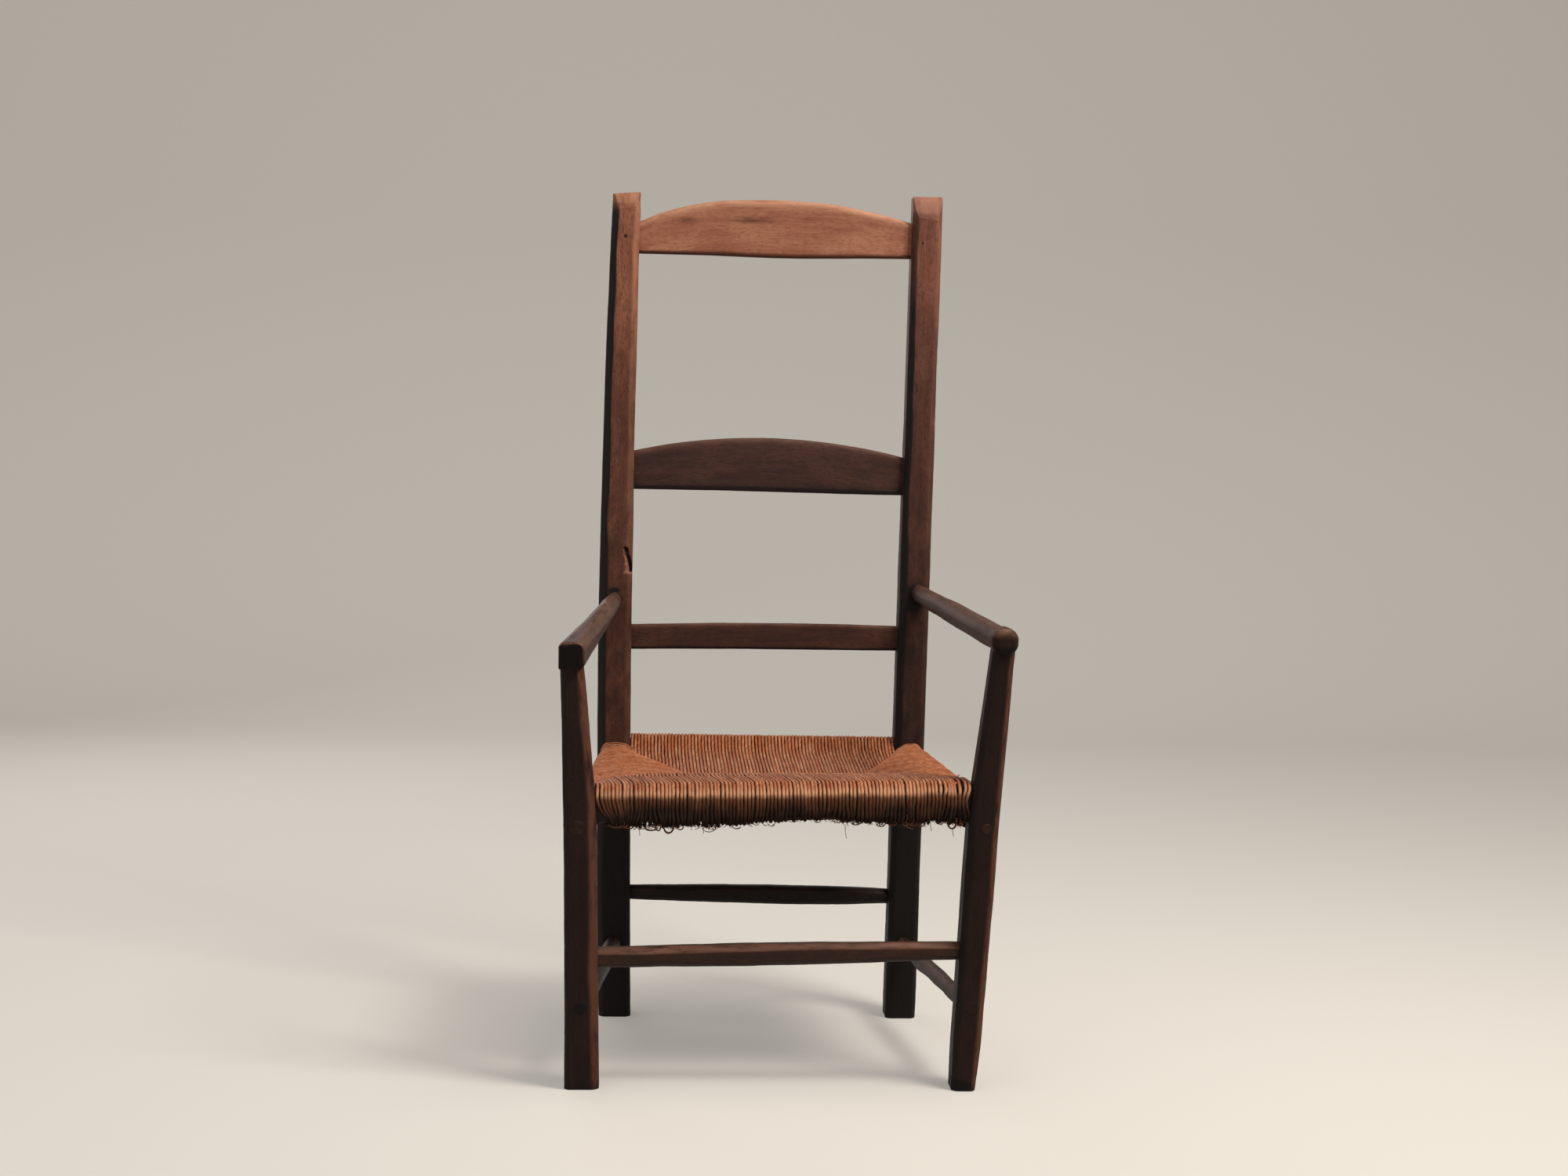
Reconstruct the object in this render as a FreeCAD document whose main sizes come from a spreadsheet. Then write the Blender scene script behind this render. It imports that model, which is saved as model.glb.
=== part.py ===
import FreeCAD, Part
import math
import os
import Sketcher

# A rustic ladderback armchair with a rush seat.
# Millimetres. Seen from the front, +X is to the right, +Y to the back and +Z up.
# The origin is on the floor, under the middle of the chair. Left and right are the viewer's.

doc = FreeCAD.newDocument("LadderbackChair")

# Driving dimensions. The chair is hand made and leans a little, so left and right have their own.
sizes = {
    # back posts: centre and width at the foot, the elbow and the top
    "post_foot_y": 162, "post_elbow_y": 194.4, "post_top_y": 226.6,
    "post_elbow_z": 560, "post_depth": 44, "post_top_depth": 38, "post_corner": 7,
    "post_left_foot_x": -200.8, "post_left_elbow_x": -209.2, "post_left_top_x": -202.9,
    "post_left_foot_width": 43, "post_left_elbow_width": 44.2, "post_left_top_width": 37,
    "post_left_top_z": 1114,
    "post_right_foot_x": 188.3, "post_right_elbow_x": 197.6, "post_right_top_x": 207.3,
    "post_right_foot_width": 41, "post_right_elbow_width": 40.5, "post_right_top_width": 40,
    "post_right_top_z": 1120,
    "post_bevel_down": 24, "post_bevel_back": 8,
    # front legs: centre and width at the foot, the ankle, the seat and the top
    "leg_y": -220, "leg_depth": 41, "leg_top_depth": 33, "leg_corner": 7,
    "leg_left_foot_x": -241, "leg_left_ankle_x": -242.3, "leg_left_seat_x": -248.6,
    "leg_left_top_x": -260.8,
    "leg_left_foot_width": 41.5, "leg_left_ankle_width": 41, "leg_left_seat_width": 39.5,
    "leg_left_top_width": 29,
    "leg_right_foot_x": 223, "leg_right_ankle_x": 226.6, "leg_right_seat_x": 240.5,
    "leg_right_top_x": 259.2,
    "leg_right_foot_width": 28.7, "leg_right_ankle_width": 33.8, "leg_right_seat_width": 37,
    "leg_right_top_width": 27,
    "leg_ankle_z": 55, "leg_seat_z": 332, "leg_left_top_z": 509, "leg_right_top_z": 533,
    "leg_tenon_radius": 9, "leg_tenon_length": 22,
    # slats: ends inside the posts, lower edge, height at each end and in the middle, and how
    # many degrees the right end is turned up
    "slat_left_x": -206, "slat_right_x": 196, "slat_thickness": 12, "slat_bow": 8,
    "top_slat_z": 1034, "top_slat_left": 41, "top_slat_crown": 78.5, "top_slat_right": 48,
    "top_slat_tilt": 0.25,
    "middle_slat_z": 713, "middle_slat_left": 48, "middle_slat_crown": 74,
    "middle_slat_right": 47, "middle_slat_tilt": -0.2,
    "lower_slat_z": 498, "lower_slat_left": 33, "lower_slat_crown": 36, "lower_slat_right": 33,
    "lower_slat_tilt": 0.45,
    # pegs that hold the top slat
    "peg_radius": 3.2, "peg_length": 34, "peg_y": 203.8,
    "peg_left_x": -202.9, "peg_left_z": 1056, "peg_right_x": 201.3, "peg_right_z": 1056,
    # arms: where each meets its post, and its front end over the leg
    "arm_left_back_x": -211.5, "arm_left_back_z": 562, "arm_left_front_x": -262,
    "arm_left_front_z": 525.5,
    "arm_right_back_x": 203.5, "arm_right_back_z": 579, "arm_right_front_x": 261,
    "arm_right_front_z": 550,
    "arm_back_y": 174, "arm_front_y": -245,
    "arm_back_width": 22, "arm_back_height": 26, "arm_back_corner": 10.5,
    "arm_middle_width": 28, "arm_middle_height": 31, "arm_middle_corner": 13,
    "arm_left_front_width": 31, "arm_left_front_height": 34, "arm_left_front_corner": 7,
    "arm_left_end_round": 3,
    "arm_right_front_width": 34, "arm_right_front_height": 34, "arm_right_front_corner": 15,
    "arm_right_end_round": 10,
    "arm_tenon_radius": 9, "arm_tenon_length": 22,
    # seat rails, wound over with rush; the side rails' tenons go right through the front legs
    "rail_depth": 20, "rail_height": 42, "side_rail_height": 36, "rail_corner": 9,
    "front_rail_left_x": -230.4, "front_rail_left_z": 344,
    "front_rail_right_x": 224.8, "front_rail_right_z": 354,
    "back_rail_left_x": -186, "back_rail_right_x": 174.3, "back_rail_y": 182.6,
    "back_rail_z": 356.5,
    "left_rail_front_x": -247.4, "left_rail_front_z": 322,
    "left_rail_back_x": -207.3, "left_rail_back_z": 346,
    "right_rail_front_x": 238, "right_rail_front_z": 334.7,
    "right_rail_back_x": 194, "right_rail_back_z": 352,
    "side_rail_front_y": -200.2, "side_rail_back_y": 161,
    "rail_tenon_radius": 8, "rail_tenon_length": 22,
    "side_tenon_radius": 10, "side_tenon_through": 41, "side_tenon_blind": 12,
    # stretchers
    "stretcher_corner": 7, "stretcher_tenon_radius": 7.5, "stretcher_tenon_length": 22,
    "front_stretcher_left_x": -225, "front_stretcher_left_z": 158.5,
    "front_stretcher_right_x": 215, "front_stretcher_right_z": 170,
    "front_stretcher_end_height": 22, "front_stretcher_height": 25,
    "front_stretcher_end_depth": 19, "front_stretcher_depth": 23,
    "back_stretcher_left_x": -183.2, "back_stretcher_left_z": 166,
    "back_stretcher_right_x": 171, "back_stretcher_right_z": 163, "back_stretcher_y": 171.6,
    "back_stretcher_end_height": 20, "back_stretcher_height": 24.7,
    "back_stretcher_end_depth": 18, "back_stretcher_depth": 21,
    "side_stretcher_height": 22, "side_stretcher_depth": 22, "side_stretcher_end_height": 19,
    "side_stretcher_end_depth": 19, "through_tenon_radius": 8.5,
    "side_stretcher_front_y": -200.2, "side_stretcher_back_y": 146,
    "left_stretcher_front_x": -242.6, "left_stretcher_back_x": -203, "left_stretcher_z": 99,
    "right_stretcher_front_x": 228, "right_stretcher_back_x": 190, "right_stretcher_z": 102,
    # rush seat: cord wound on the rails, seams from the corners to a short bridge
    "cord_diameter": 4.6,
    "seat_middle_top": 350, "seat_middle_bottom": 328,
    "bridge_left_x": -110.5, "bridge_right_x": 112.5, "bridge_y": 12,
    "seam_front_left_x": -230, "seam_front_right_x": 224, "seam_front_y": -206,
    "seam_back_left_x": -185.5, "seam_back_right_x": 174, "seam_back_y": 161,
    "panel_margin": 90, "side_reach": 130,
    "padding_length": 220, "padding_width": 120, "padding_thickness": 9,
}
sheet = doc.addObject("Spreadsheet::Sheet", "Sizes")
for row, (alias, size) in enumerate(sizes.items(), start=1):
    sheet.set(f"A{row}", alias.replace("_", " "))
    sheet.set(f"B{row}", str(size))
    sheet.setAlias(f"B{row}", alias)
doc.recompute()

nodes = {}


def cell(alias):
    """The expression that reads one named cell; no alias means zero."""
    return f"Sizes.{alias}" if alias else "0"


def size_of(alias):
    """The number that the same cell holds."""
    return sizes[alias] if alias else 0


def keep(label, piece):
    """Names a finished piece and lists it for export."""
    piece.Label = label
    nodes[label] = piece
    return piece


def new_sketch(body, name, plane, height=None):
    """An empty sketch on one of the body's own origin planes, raised by an expression."""
    sketch = body.newObject("Sketcher::SketchObject", name)
    support = [item for item in body.Origin.OriginFeatures if item.Role == plane][0]
    sketch.AttachmentSupport = (support, [""])
    sketch.MapMode = "FlatFace"
    if height:
        sketch.setExpression("AttachmentOffset.Base.z", height)
    return sketch


def bound(sketch, kind, items, value, expression):
    """A dimension of the sketch, bound to the sheet."""
    index = sketch.addConstraint(Sketcher.Constraint(kind, *items, value))
    sketch.setExpression(f"Constraints[{index}]", expression)


def rounded_section(body, name, height, centre_x, centre_y, width, depth, corner):
    """A rectangle with round corners across the piece, centred on two cells."""
    sketch = new_sketch(body, name, "XY_Plane", height)
    wide, deep, radius = sizes[width], sizes[depth], sizes[corner]
    left = size_of(centre_x) - wide / 2
    front = size_of(centre_y) - deep / 2
    corners = [
        FreeCAD.Vector(left, front),
        FreeCAD.Vector(left + wide, front),
        FreeCAD.Vector(left + wide, front + deep),
        FreeCAD.Vector(left, front + deep),
    ]
    ways = [FreeCAD.Vector(math.cos(turn), math.sin(turn)) for turn in
            (0, math.pi / 2, math.pi, math.pi * 1.5)]
    for side in range(4):
        far = corners[(side + 1) % 4]
        sketch.addGeometry(Part.LineSegment(
            corners[side] + ways[side] * radius, far - ways[side] * radius))
    for side in range(4):
        middle = corners[(side + 1) % 4] - ways[side] * radius + ways[(side + 1) % 4] * radius
        circle = Part.Circle(middle, FreeCAD.Vector(0, 0, 1), radius)
        sketch.addGeometry(Part.ArcOfCircle(
            circle, (side - 1) * math.pi / 2, side * math.pi / 2))
    for side in range(4):
        sketch.addConstraint(Sketcher.Constraint("Tangent", side, 2, side + 4, 1))
        sketch.addConstraint(Sketcher.Constraint("Tangent", side + 4, 2, (side + 1) % 4, 1))
        straight = "Horizontal" if side % 2 == 0 else "Vertical"
        sketch.addConstraint(Sketcher.Constraint(straight, side))
    for other in (5, 6, 7):
        sketch.addConstraint(Sketcher.Constraint("Equal", 4, other))
    bound(sketch, "Radius", (4,), radius, cell(corner))
    bound(sketch, "DistanceX", (3, 1, 1, 1), wide, cell(width))
    bound(sketch, "DistanceY", (0, 1, 2, 1), deep, cell(depth))
    bound(sketch, "DistanceX", (-1, 1, 3, 1), left, f"{cell(centre_x)} - {cell(width)} / 2")
    bound(sketch, "DistanceY", (-1, 1, 0, 1), front, f"{cell(centre_y)} - {cell(depth)} / 2")
    return sketch


def loft(body, sections, ruled):
    """Joins the sections into the body's solid."""
    joined = body.newObject("PartDesign::AdditiveLoft", body.Name + "_loft")
    joined.Profile = (sections[0], [""])
    joined.Sections = [(section, [""]) for section in sections[1:]]
    joined.Ruled = ruled
    return joined


def tenon(body, name, radius, height, start, centre_x=None, centre_y=None):
    """A round core that stands out of the body as its tenon."""
    core = body.newObject("PartDesign::AdditiveCylinder", name)
    core.setExpression("Radius", cell(radius))
    core.setExpression("Height", height)
    core.setExpression("Placement.Base.x", cell(centre_x))
    core.setExpression("Placement.Base.y", cell(centre_y))
    core.setExpression("Placement.Base.z", start)
    return core


def point(place):
    """A point from three cells."""
    return FreeCAD.Vector(*[size_of(alias) for alias in place])


def along(start, end):
    """The placement whose Z axis runs from start to end, with Y as near to up as it goes."""
    way = (point(end) - point(start)).normalize()
    up = FreeCAD.Vector(0, 0, 1)
    return FreeCAD.Placement(point(start), FreeCAD.Rotation(up.cross(way), up, way, "ZXY"))


def span(start, end):
    """The expression for the distance between two points."""
    squares = [f"({cell(a)} - {cell(b)})^2" for a, b in zip(start, end)]
    return f"sqrt({' + '.join(squares)})"


def cut_from(label, base, tools):
    """The base with the tools' shapes taken out, as its mortises and holes."""
    together = doc.addObject("Part::Compound", label + "_tools")
    together.Links = tools
    shaped = doc.addObject("Part::Cut", label + "_cut")
    shaped.Base = base
    shaped.Tool = together
    return shaped


# Squared members


def post(side):
    """A raked back post, a little bowed, with a long bevel on the front of its top."""
    body = doc.addObject("PartDesign::Body", f"post_{side}_blank")
    levels = [("foot", None), ("elbow", "post_elbow_z"), ("top", f"post_{side}_top_z")]
    sections = []
    for level, height in levels:
        depth = "post_top_depth" if level == "top" else "post_depth"
        sections.append(rounded_section(
            body, f"post_{side}_{level}", cell(height), f"post_{side}_{level}_x",
            f"post_{level}_y", f"post_{side}_{level}_width", depth, "post_corner"))
    loft(body, sections, False)
    top_z = sizes[f"post_{side}_top_z"]
    face_y = sizes["post_top_y"] - sizes["post_top_depth"] / 2
    face = "Sizes.post_top_y - Sizes.post_top_depth / 2"
    corners = [
        (face_y, top_z - sizes["post_bevel_down"],
         face, f"Sizes.post_{side}_top_z - Sizes.post_bevel_down"),
        (face_y + sizes["post_bevel_back"], top_z,
         face + " + Sizes.post_bevel_back", f"Sizes.post_{side}_top_z"),
        (face_y - sizes["post_bevel_back"], top_z,
         face + " - Sizes.post_bevel_back", f"Sizes.post_{side}_top_z"),
    ]
    bevel = polygon(body, f"post_{side}_bevel", "YZ_Plane", corners)
    pocket = body.newObject("PartDesign::Pocket", f"post_{side}_bevel_cut")
    pocket.Profile = bevel
    pocket.SideType = "Symmetric"
    pocket.setExpression("Length", f"4 * abs({cell(f'post_{side}_top_x')})")
    return body


def polygon(body, name, plane, corners):
    """A closed outline of straight lines; each corner is two numbers and their expressions."""
    sketch = new_sketch(body, name, plane)
    count = len(corners)
    for index in range(count):
        a, b = corners[index], corners[(index + 1) % count]
        sketch.addGeometry(Part.LineSegment(
            FreeCAD.Vector(a[0], a[1]), FreeCAD.Vector(b[0], b[1])))
    for index in range(count):
        sketch.addConstraint(
            Sketcher.Constraint("Coincident", index, 2, (index + 1) % count, 1))
    for index, (x, y, x_expression, y_expression) in enumerate(corners):
        bound(sketch, "DistanceX", (-1, 1, index, 1), x, x_expression)
        bound(sketch, "DistanceY", (-1, 1, index, 1), y, y_expression)
    return sketch


def leg(side):
    """A front leg, thinned above the seat, with the round tenon that enters the arm."""
    body = doc.addObject("PartDesign::Body", f"leg_{side}_blank")
    top = f"leg_{side}_top_z"
    levels = [("foot", None), ("ankle", "leg_ankle_z"), ("seat", "leg_seat_z"), ("top", top)]
    sections = []
    for level, height in levels:
        depth = "leg_top_depth" if level == "top" else "leg_depth"
        sections.append(rounded_section(
            body, f"leg_{side}_{level}", cell(height), f"leg_{side}_{level}_x", "leg_y",
            f"leg_{side}_{level}_width", depth, "leg_corner"))
    loft(body, sections, True)
    inside = f"{cell(top)} - Sizes.leg_tenon_length"
    tenon(body, f"leg_{side}_tenon", "leg_tenon_radius", "2 * Sizes.leg_tenon_length", inside,
          f"leg_{side}_top_x", "leg_y")
    return body


def member(label, start, end, stations, tenon_radius, start_tenon, end_tenon):
    """A rail or stretcher from start to end; stations are share of length, depth, height."""
    body = doc.addObject("PartDesign::Body", label)
    length = span(start, end)
    sections = []
    for number, (share, depth, height, corner) in enumerate(stations):
        sections.append(rounded_section(
            body, f"{label}_section_{number}", f"{share} * {length}", None, None, depth, height,
            corner))
    loft(body, sections, False)
    tenon(body, label + "_tenons", tenon_radius,
          f"{length} + {cell(start_tenon)} + {cell(end_tenon)}", "-" + cell(start_tenon))
    body.Placement = along(start, end)
    return body


def seat_rail(label, start, end, height, tenon_radius, start_tenon, end_tenon):
    """A seat rail: an even, rounded section under the rush."""
    section = ("rail_depth", height, "rail_corner")
    stations = [(0, *section), (1, *section)]
    return member(label, start, end, stations, tenon_radius, start_tenon, end_tenon)


def stretcher(label, start, end, shape, tenon_radius, start_tenon, end_tenon):
    """A stretcher shaved thinner towards both ends."""
    thin = (f"{shape}_stretcher_end_depth", f"{shape}_stretcher_end_height", "stretcher_corner")
    thick = (f"{shape}_stretcher_depth", f"{shape}_stretcher_height", "stretcher_corner")
    stations = [(0, *thin), (0.35, *thick), (0.65, *thick), (1, *thin)]
    return member(label, start, end, stations, tenon_radius, start_tenon, end_tenon)


# Slats


def arc_between(left, crown, right):
    """The arc of a circle from left to right through the crown."""
    return Part.Arc(FreeCAD.Vector(*left), FreeCAD.Vector(*crown), FreeCAD.Vector(*right))


def slat(name):
    """A slat: the outline seen from the front, cut out of a board bowed to the back."""
    left_x, right_x = sizes["slat_left_x"], sizes["slat_right_x"]
    left, crown, right = [sizes[f"{name}_{part}"] for part in ("left", "crown", "right")]
    outline = doc.addObject("PartDesign::Body", name + "_outline")
    sketch = new_sketch(outline, name + "_front", "XZ_Plane")
    middle_x = (left_x + right_x) / 2
    sketch.addGeometry(Part.LineSegment(
        FreeCAD.Vector(left_x, 0), FreeCAD.Vector(right_x, 0)))
    sketch.addGeometry(Part.LineSegment(
        FreeCAD.Vector(right_x, 0), FreeCAD.Vector(right_x, right)))
    sketch.addGeometry(arc_between((right_x, right), (middle_x, crown), (left_x, left)))
    sketch.addGeometry(Part.LineSegment(
        FreeCAD.Vector(left_x, left), FreeCAD.Vector(left_x, 0)))
    sketch.addConstraint(Sketcher.Constraint("Coincident", 0, 2, 1, 1))
    sketch.addConstraint(Sketcher.Constraint("Coincident", 1, 2, 2, 1))
    sketch.addConstraint(Sketcher.Constraint("Coincident", 2, 2, 3, 1))
    sketch.addConstraint(Sketcher.Constraint("Coincident", 3, 2, 0, 1))
    sketch.addConstraint(Sketcher.Constraint("Horizontal", 0))
    sketch.addConstraint(Sketcher.Constraint("Vertical", 1))
    sketch.addConstraint(Sketcher.Constraint("Vertical", 3))
    sketch.addConstraint(Sketcher.Constraint("PointOnObject", 0, 1, -1))
    bound(sketch, "DistanceX", (-1, 1, 0, 1), left_x, "Sizes.slat_left_x")
    bound(sketch, "DistanceX", (-1, 1, 0, 2), right_x, "Sizes.slat_right_x")
    bound(sketch, "DistanceY", (-1, 1, 1, 2), right, cell(name + "_right"))
    bound(sketch, "DistanceY", (-1, 1, 3, 1), left, cell(name + "_left"))
    rise = f"({cell(name + '_crown')} - ({cell(name + '_left')} + {cell(name + '_right')}) / 2)"
    half = "((Sizes.slat_right_x - Sizes.slat_left_x) / 2)"
    radius = ((right_x - left_x) ** 2 / 4 + (crown - (left + right) / 2) ** 2) / (
        2 * (crown - (left + right) / 2))
    bound(sketch, "Radius", (2,), radius, f"({half}^2 + {rise}^2) / (2 * {rise})")
    pad = outline.newObject("PartDesign::Pad", name + "_pad")
    pad.Profile = sketch
    pad.SideType = "Symmetric"
    pad.setExpression("Length", "6 * Sizes.slat_thickness")

    board = doc.addObject("PartDesign::Body", name + "_board")
    strip = new_sketch(board, name + "_plan", "XY_Plane")
    thick, bow = sizes["slat_thickness"], sizes["slat_bow"]
    front = -thick / 2
    strip.addGeometry(arc_between((right_x, front), (middle_x, front + bow), (left_x, front)))
    strip.addGeometry(Part.LineSegment(
        FreeCAD.Vector(left_x, front), FreeCAD.Vector(left_x, front + thick)))
    strip.addGeometry(arc_between(
        (right_x, front + thick), (middle_x, front + thick + bow), (left_x, front + thick)))
    strip.addGeometry(Part.LineSegment(
        FreeCAD.Vector(right_x, front + thick), FreeCAD.Vector(right_x, front)))
    strip.addConstraint(Sketcher.Constraint("Coincident", 0, 2, 1, 1))
    strip.addConstraint(Sketcher.Constraint("Coincident", 1, 2, 2, 2))
    strip.addConstraint(Sketcher.Constraint("Coincident", 2, 1, 3, 1))
    strip.addConstraint(Sketcher.Constraint("Coincident", 3, 2, 0, 1))
    strip.addConstraint(Sketcher.Constraint("Vertical", 1))
    strip.addConstraint(Sketcher.Constraint("Vertical", 3))
    bound(strip, "DistanceX", (-1, 1, 1, 1), left_x, "Sizes.slat_left_x")
    bound(strip, "DistanceX", (-1, 1, 3, 1), right_x, "Sizes.slat_right_x")
    bound(strip, "DistanceY", (-1, 1, 1, 1), front, "-Sizes.slat_thickness / 2")
    bound(strip, "DistanceY", (-1, 1, 3, 2), front, "-Sizes.slat_thickness / 2")
    bound(strip, "DistanceY", (1, 1, 1, 2), thick, "Sizes.slat_thickness")
    bound(strip, "DistanceY", (3, 2, 3, 1), thick, "Sizes.slat_thickness")
    bow_radius = ((right_x - left_x) ** 2 / 4 + bow ** 2) / (2 * bow)
    bow_text = f"({half}^2 + Sizes.slat_bow^2) / (2 * Sizes.slat_bow)"
    bound(strip, "Radius", (0,), bow_radius, bow_text)
    bound(strip, "Radius", (2,), bow_radius, bow_text)
    lift = board.newObject("PartDesign::Pad", name + "_lift")
    lift.Profile = strip
    lift.SideType = "Symmetric"
    lift.setExpression("Length", f"4 * {cell(name + '_crown')}")

    shaped = doc.addObject("Part::Common", name + "_shape")
    shaped.Base = outline
    shaped.Tool = board
    rake = (sizes["post_elbow_y"] - sizes["post_foot_y"]) / sizes["post_elbow_z"]
    lean = FreeCAD.Rotation(FreeCAD.Vector(1, 0, 0), -math.degrees(math.atan(rake)))
    tilt = FreeCAD.Rotation(FreeCAD.Vector(0, 1, 0), -sizes[name + "_tilt"])
    low = sizes[name + "_z"]
    shaped.Placement = FreeCAD.Placement(
        FreeCAD.Vector(0, sizes["post_foot_y"] + rake * low, low), lean * tilt)
    return shaped


def slat_pegs():
    """The two pegs that lock the top slat, driven in from the front of the posts."""
    pegs = []
    for side in ("left", "right"):
        peg = doc.addObject("Part::Cylinder", "peg_" + side)
        peg.setExpression("Radius", "Sizes.peg_radius")
        peg.setExpression("Height", "Sizes.peg_length")
        peg.Placement = FreeCAD.Placement(
            FreeCAD.Vector(sizes[f"peg_{side}_x"], sizes["peg_y"], sizes[f"peg_{side}_z"]),
            FreeCAD.Rotation(FreeCAD.Vector(1, 0, 0), -90))
        pegs.append(peg)
    group = doc.addObject("Part::Compound", "peg_group")
    group.Links = pegs
    return group


# Arms


def arm(side):
    """An arm: round where it enters the post, fuller to the front, its end rounded over."""
    start = (f"arm_{side}_back_x", "arm_back_y", f"arm_{side}_back_z")
    end = (f"arm_{side}_front_x", "arm_front_y", f"arm_{side}_front_z")
    body = doc.addObject("PartDesign::Body", f"arm_{side}_blank")
    length = span(start, end)
    stations = [
        (0, "arm_back_width", "arm_back_height", "arm_back_corner"),
        (0.5, "arm_middle_width", "arm_middle_height", "arm_middle_corner"),
        (1, f"arm_{side}_front_width", f"arm_{side}_front_height", f"arm_{side}_front_corner"),
    ]
    sections = []
    for number, (share, width, height, corner) in enumerate(stations):
        sections.append(rounded_section(
            body, f"arm_{side}_section_{number}", f"{share} * {length}", None, None, width,
            height, corner))
    loft(body, sections, False)
    solid = tenon(body, f"arm_{side}_tenon", "arm_tenon_radius", "2 * Sizes.arm_tenon_length",
                  "-Sizes.arm_tenon_length")
    doc.recompute()
    faces = solid.Shape.Faces
    farthest = max(range(len(faces)), key=lambda index: faces[index].CenterOfMass.z)
    rounded = body.newObject("PartDesign::Fillet", f"arm_{side}_end")
    rounded.Base = (solid, [f"Face{farthest + 1}"])
    rounded.setExpression("Radius", f"Sizes.arm_{side}_end_round")
    body.Tip = rounded
    body.Placement = along(start, end)
    return body


# Rush seat


def rush_section(body, label, rail_height, reach, top_in, bottom_in):
    """Across one side of the seat: rolled over the rail, then thinning towards the seam."""
    half_depth = sizes["rail_depth"] / 2 + sizes["cord_diameter"]
    half_height = sizes[rail_height] / 2 + sizes["cord_diameter"]
    shoulder = half_height - half_depth
    sketch = new_sketch(body, label + "_section", "XY_Plane")
    flat = FreeCAD.Vector(0, 0, 1)
    quarter = math.pi / 2
    sketch.addGeometry(Part.ArcOfCircle(
        Part.Circle(FreeCAD.Vector(0, shoulder), flat, half_depth), quarter, 2 * quarter))
    sketch.addGeometry(Part.LineSegment(
        FreeCAD.Vector(-half_depth, shoulder), FreeCAD.Vector(-half_depth, -shoulder)))
    sketch.addGeometry(Part.ArcOfCircle(
        Part.Circle(FreeCAD.Vector(0, -shoulder), flat, half_depth), 2 * quarter, 3 * quarter))
    outline = [(0, -half_height), (reach[0], bottom_in[0]), (reach[0], top_in[0]),
               (0, half_height)]
    for a, b in zip(outline, outline[1:]):
        sketch.addGeometry(Part.LineSegment(FreeCAD.Vector(*a), FreeCAD.Vector(*b)))
    sketch.addConstraint(Sketcher.Constraint("Tangent", 0, 2, 1, 1))
    sketch.addConstraint(Sketcher.Constraint("Tangent", 1, 2, 2, 1))
    joints = [(2, 2, 3, 1), (3, 2, 4, 1), (4, 2, 5, 1), (5, 2, 0, 1)]
    for joint in joints:
        sketch.addConstraint(Sketcher.Constraint("Coincident", *joint))
    sketch.addConstraint(Sketcher.Constraint("Vertical", 1))
    sketch.addConstraint(Sketcher.Constraint("Vertical", 4))
    sketch.addConstraint(Sketcher.Constraint("PointOnObject", 0, 1, -2))
    sketch.addConstraint(Sketcher.Constraint("PointOnObject", 2, 2, -2))
    sketch.addConstraint(Sketcher.Constraint("PointOnObject", 0, 3, -2))
    sketch.addConstraint(Sketcher.Constraint("PointOnObject", 2, 3, -2))
    half_depth_text = "Sizes.rail_depth / 2 + Sizes.cord_diameter"
    half_height_text = f"{cell(rail_height)} / 2 + Sizes.cord_diameter"
    bound(sketch, "Radius", (0,), half_depth, half_depth_text)
    bound(sketch, "DistanceY", (-1, 1, 0, 1), half_height, half_height_text)
    bound(sketch, "DistanceY", (-1, 1, 2, 2), -half_height, f"-({half_height_text})")
    bound(sketch, "DistanceX", (-1, 1, 4, 1), *reach)
    bound(sketch, "DistanceY", (-1, 1, 4, 1), *bottom_in)
    bound(sketch, "DistanceY", (-1, 1, 4, 2), *top_in)
    return sketch


def rush_panel(label, start, end, rail_height, reach, corners):
    """One side of the seat: its rolled section along the rail, kept between its seams."""
    body = doc.addObject("PartDesign::Body", label + "_roll")
    rail_z = (size_of(start[2]) + size_of(end[2])) / 2
    rail_text = f"(({cell(start[2])} + {cell(end[2])}) / 2)"
    top_in = (sizes["seat_middle_top"] - rail_z, f"Sizes.seat_middle_top - {rail_text}")
    bottom_in = (sizes["seat_middle_bottom"] - rail_z,
                 f"Sizes.seat_middle_bottom - {rail_text}")
    section = rush_section(body, label, rail_height, reach, top_in, bottom_in)
    roll = body.newObject("PartDesign::Pad", label + "_pad")
    roll.Profile = section
    roll.setExpression("Length", span(start, end))
    body.Placement = along(start, end)

    plan = doc.addObject("PartDesign::Body", label + "_plan")
    outline = polygon(plan, label + "_seams", "XY_Plane", corners)
    height = plan.newObject("PartDesign::Pad", label + "_height")
    height.Profile = outline
    height.setExpression("Length", "2 * Sizes.seat_middle_top")

    shaped = doc.addObject("Part::Common", label + "_shape")
    shaped.Base = body
    shaped.Tool = plan
    return shaped


def seat_corner(x, y, x_sign=0, y_sign=0):
    """A corner of a seat panel's plan, moved outwards by the panel margin where asked."""
    margin = sizes["panel_margin"]
    return (sizes[x] + x_sign * margin, sizes[y] + y_sign * margin,
            f"{cell(x)} + {x_sign} * Sizes.panel_margin",
            f"{cell(y)} + {y_sign} * Sizes.panel_margin")


# Assembly

left_post = post("left")
right_post = post("right")
left_leg = leg("left")
right_leg = leg("right")

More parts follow.
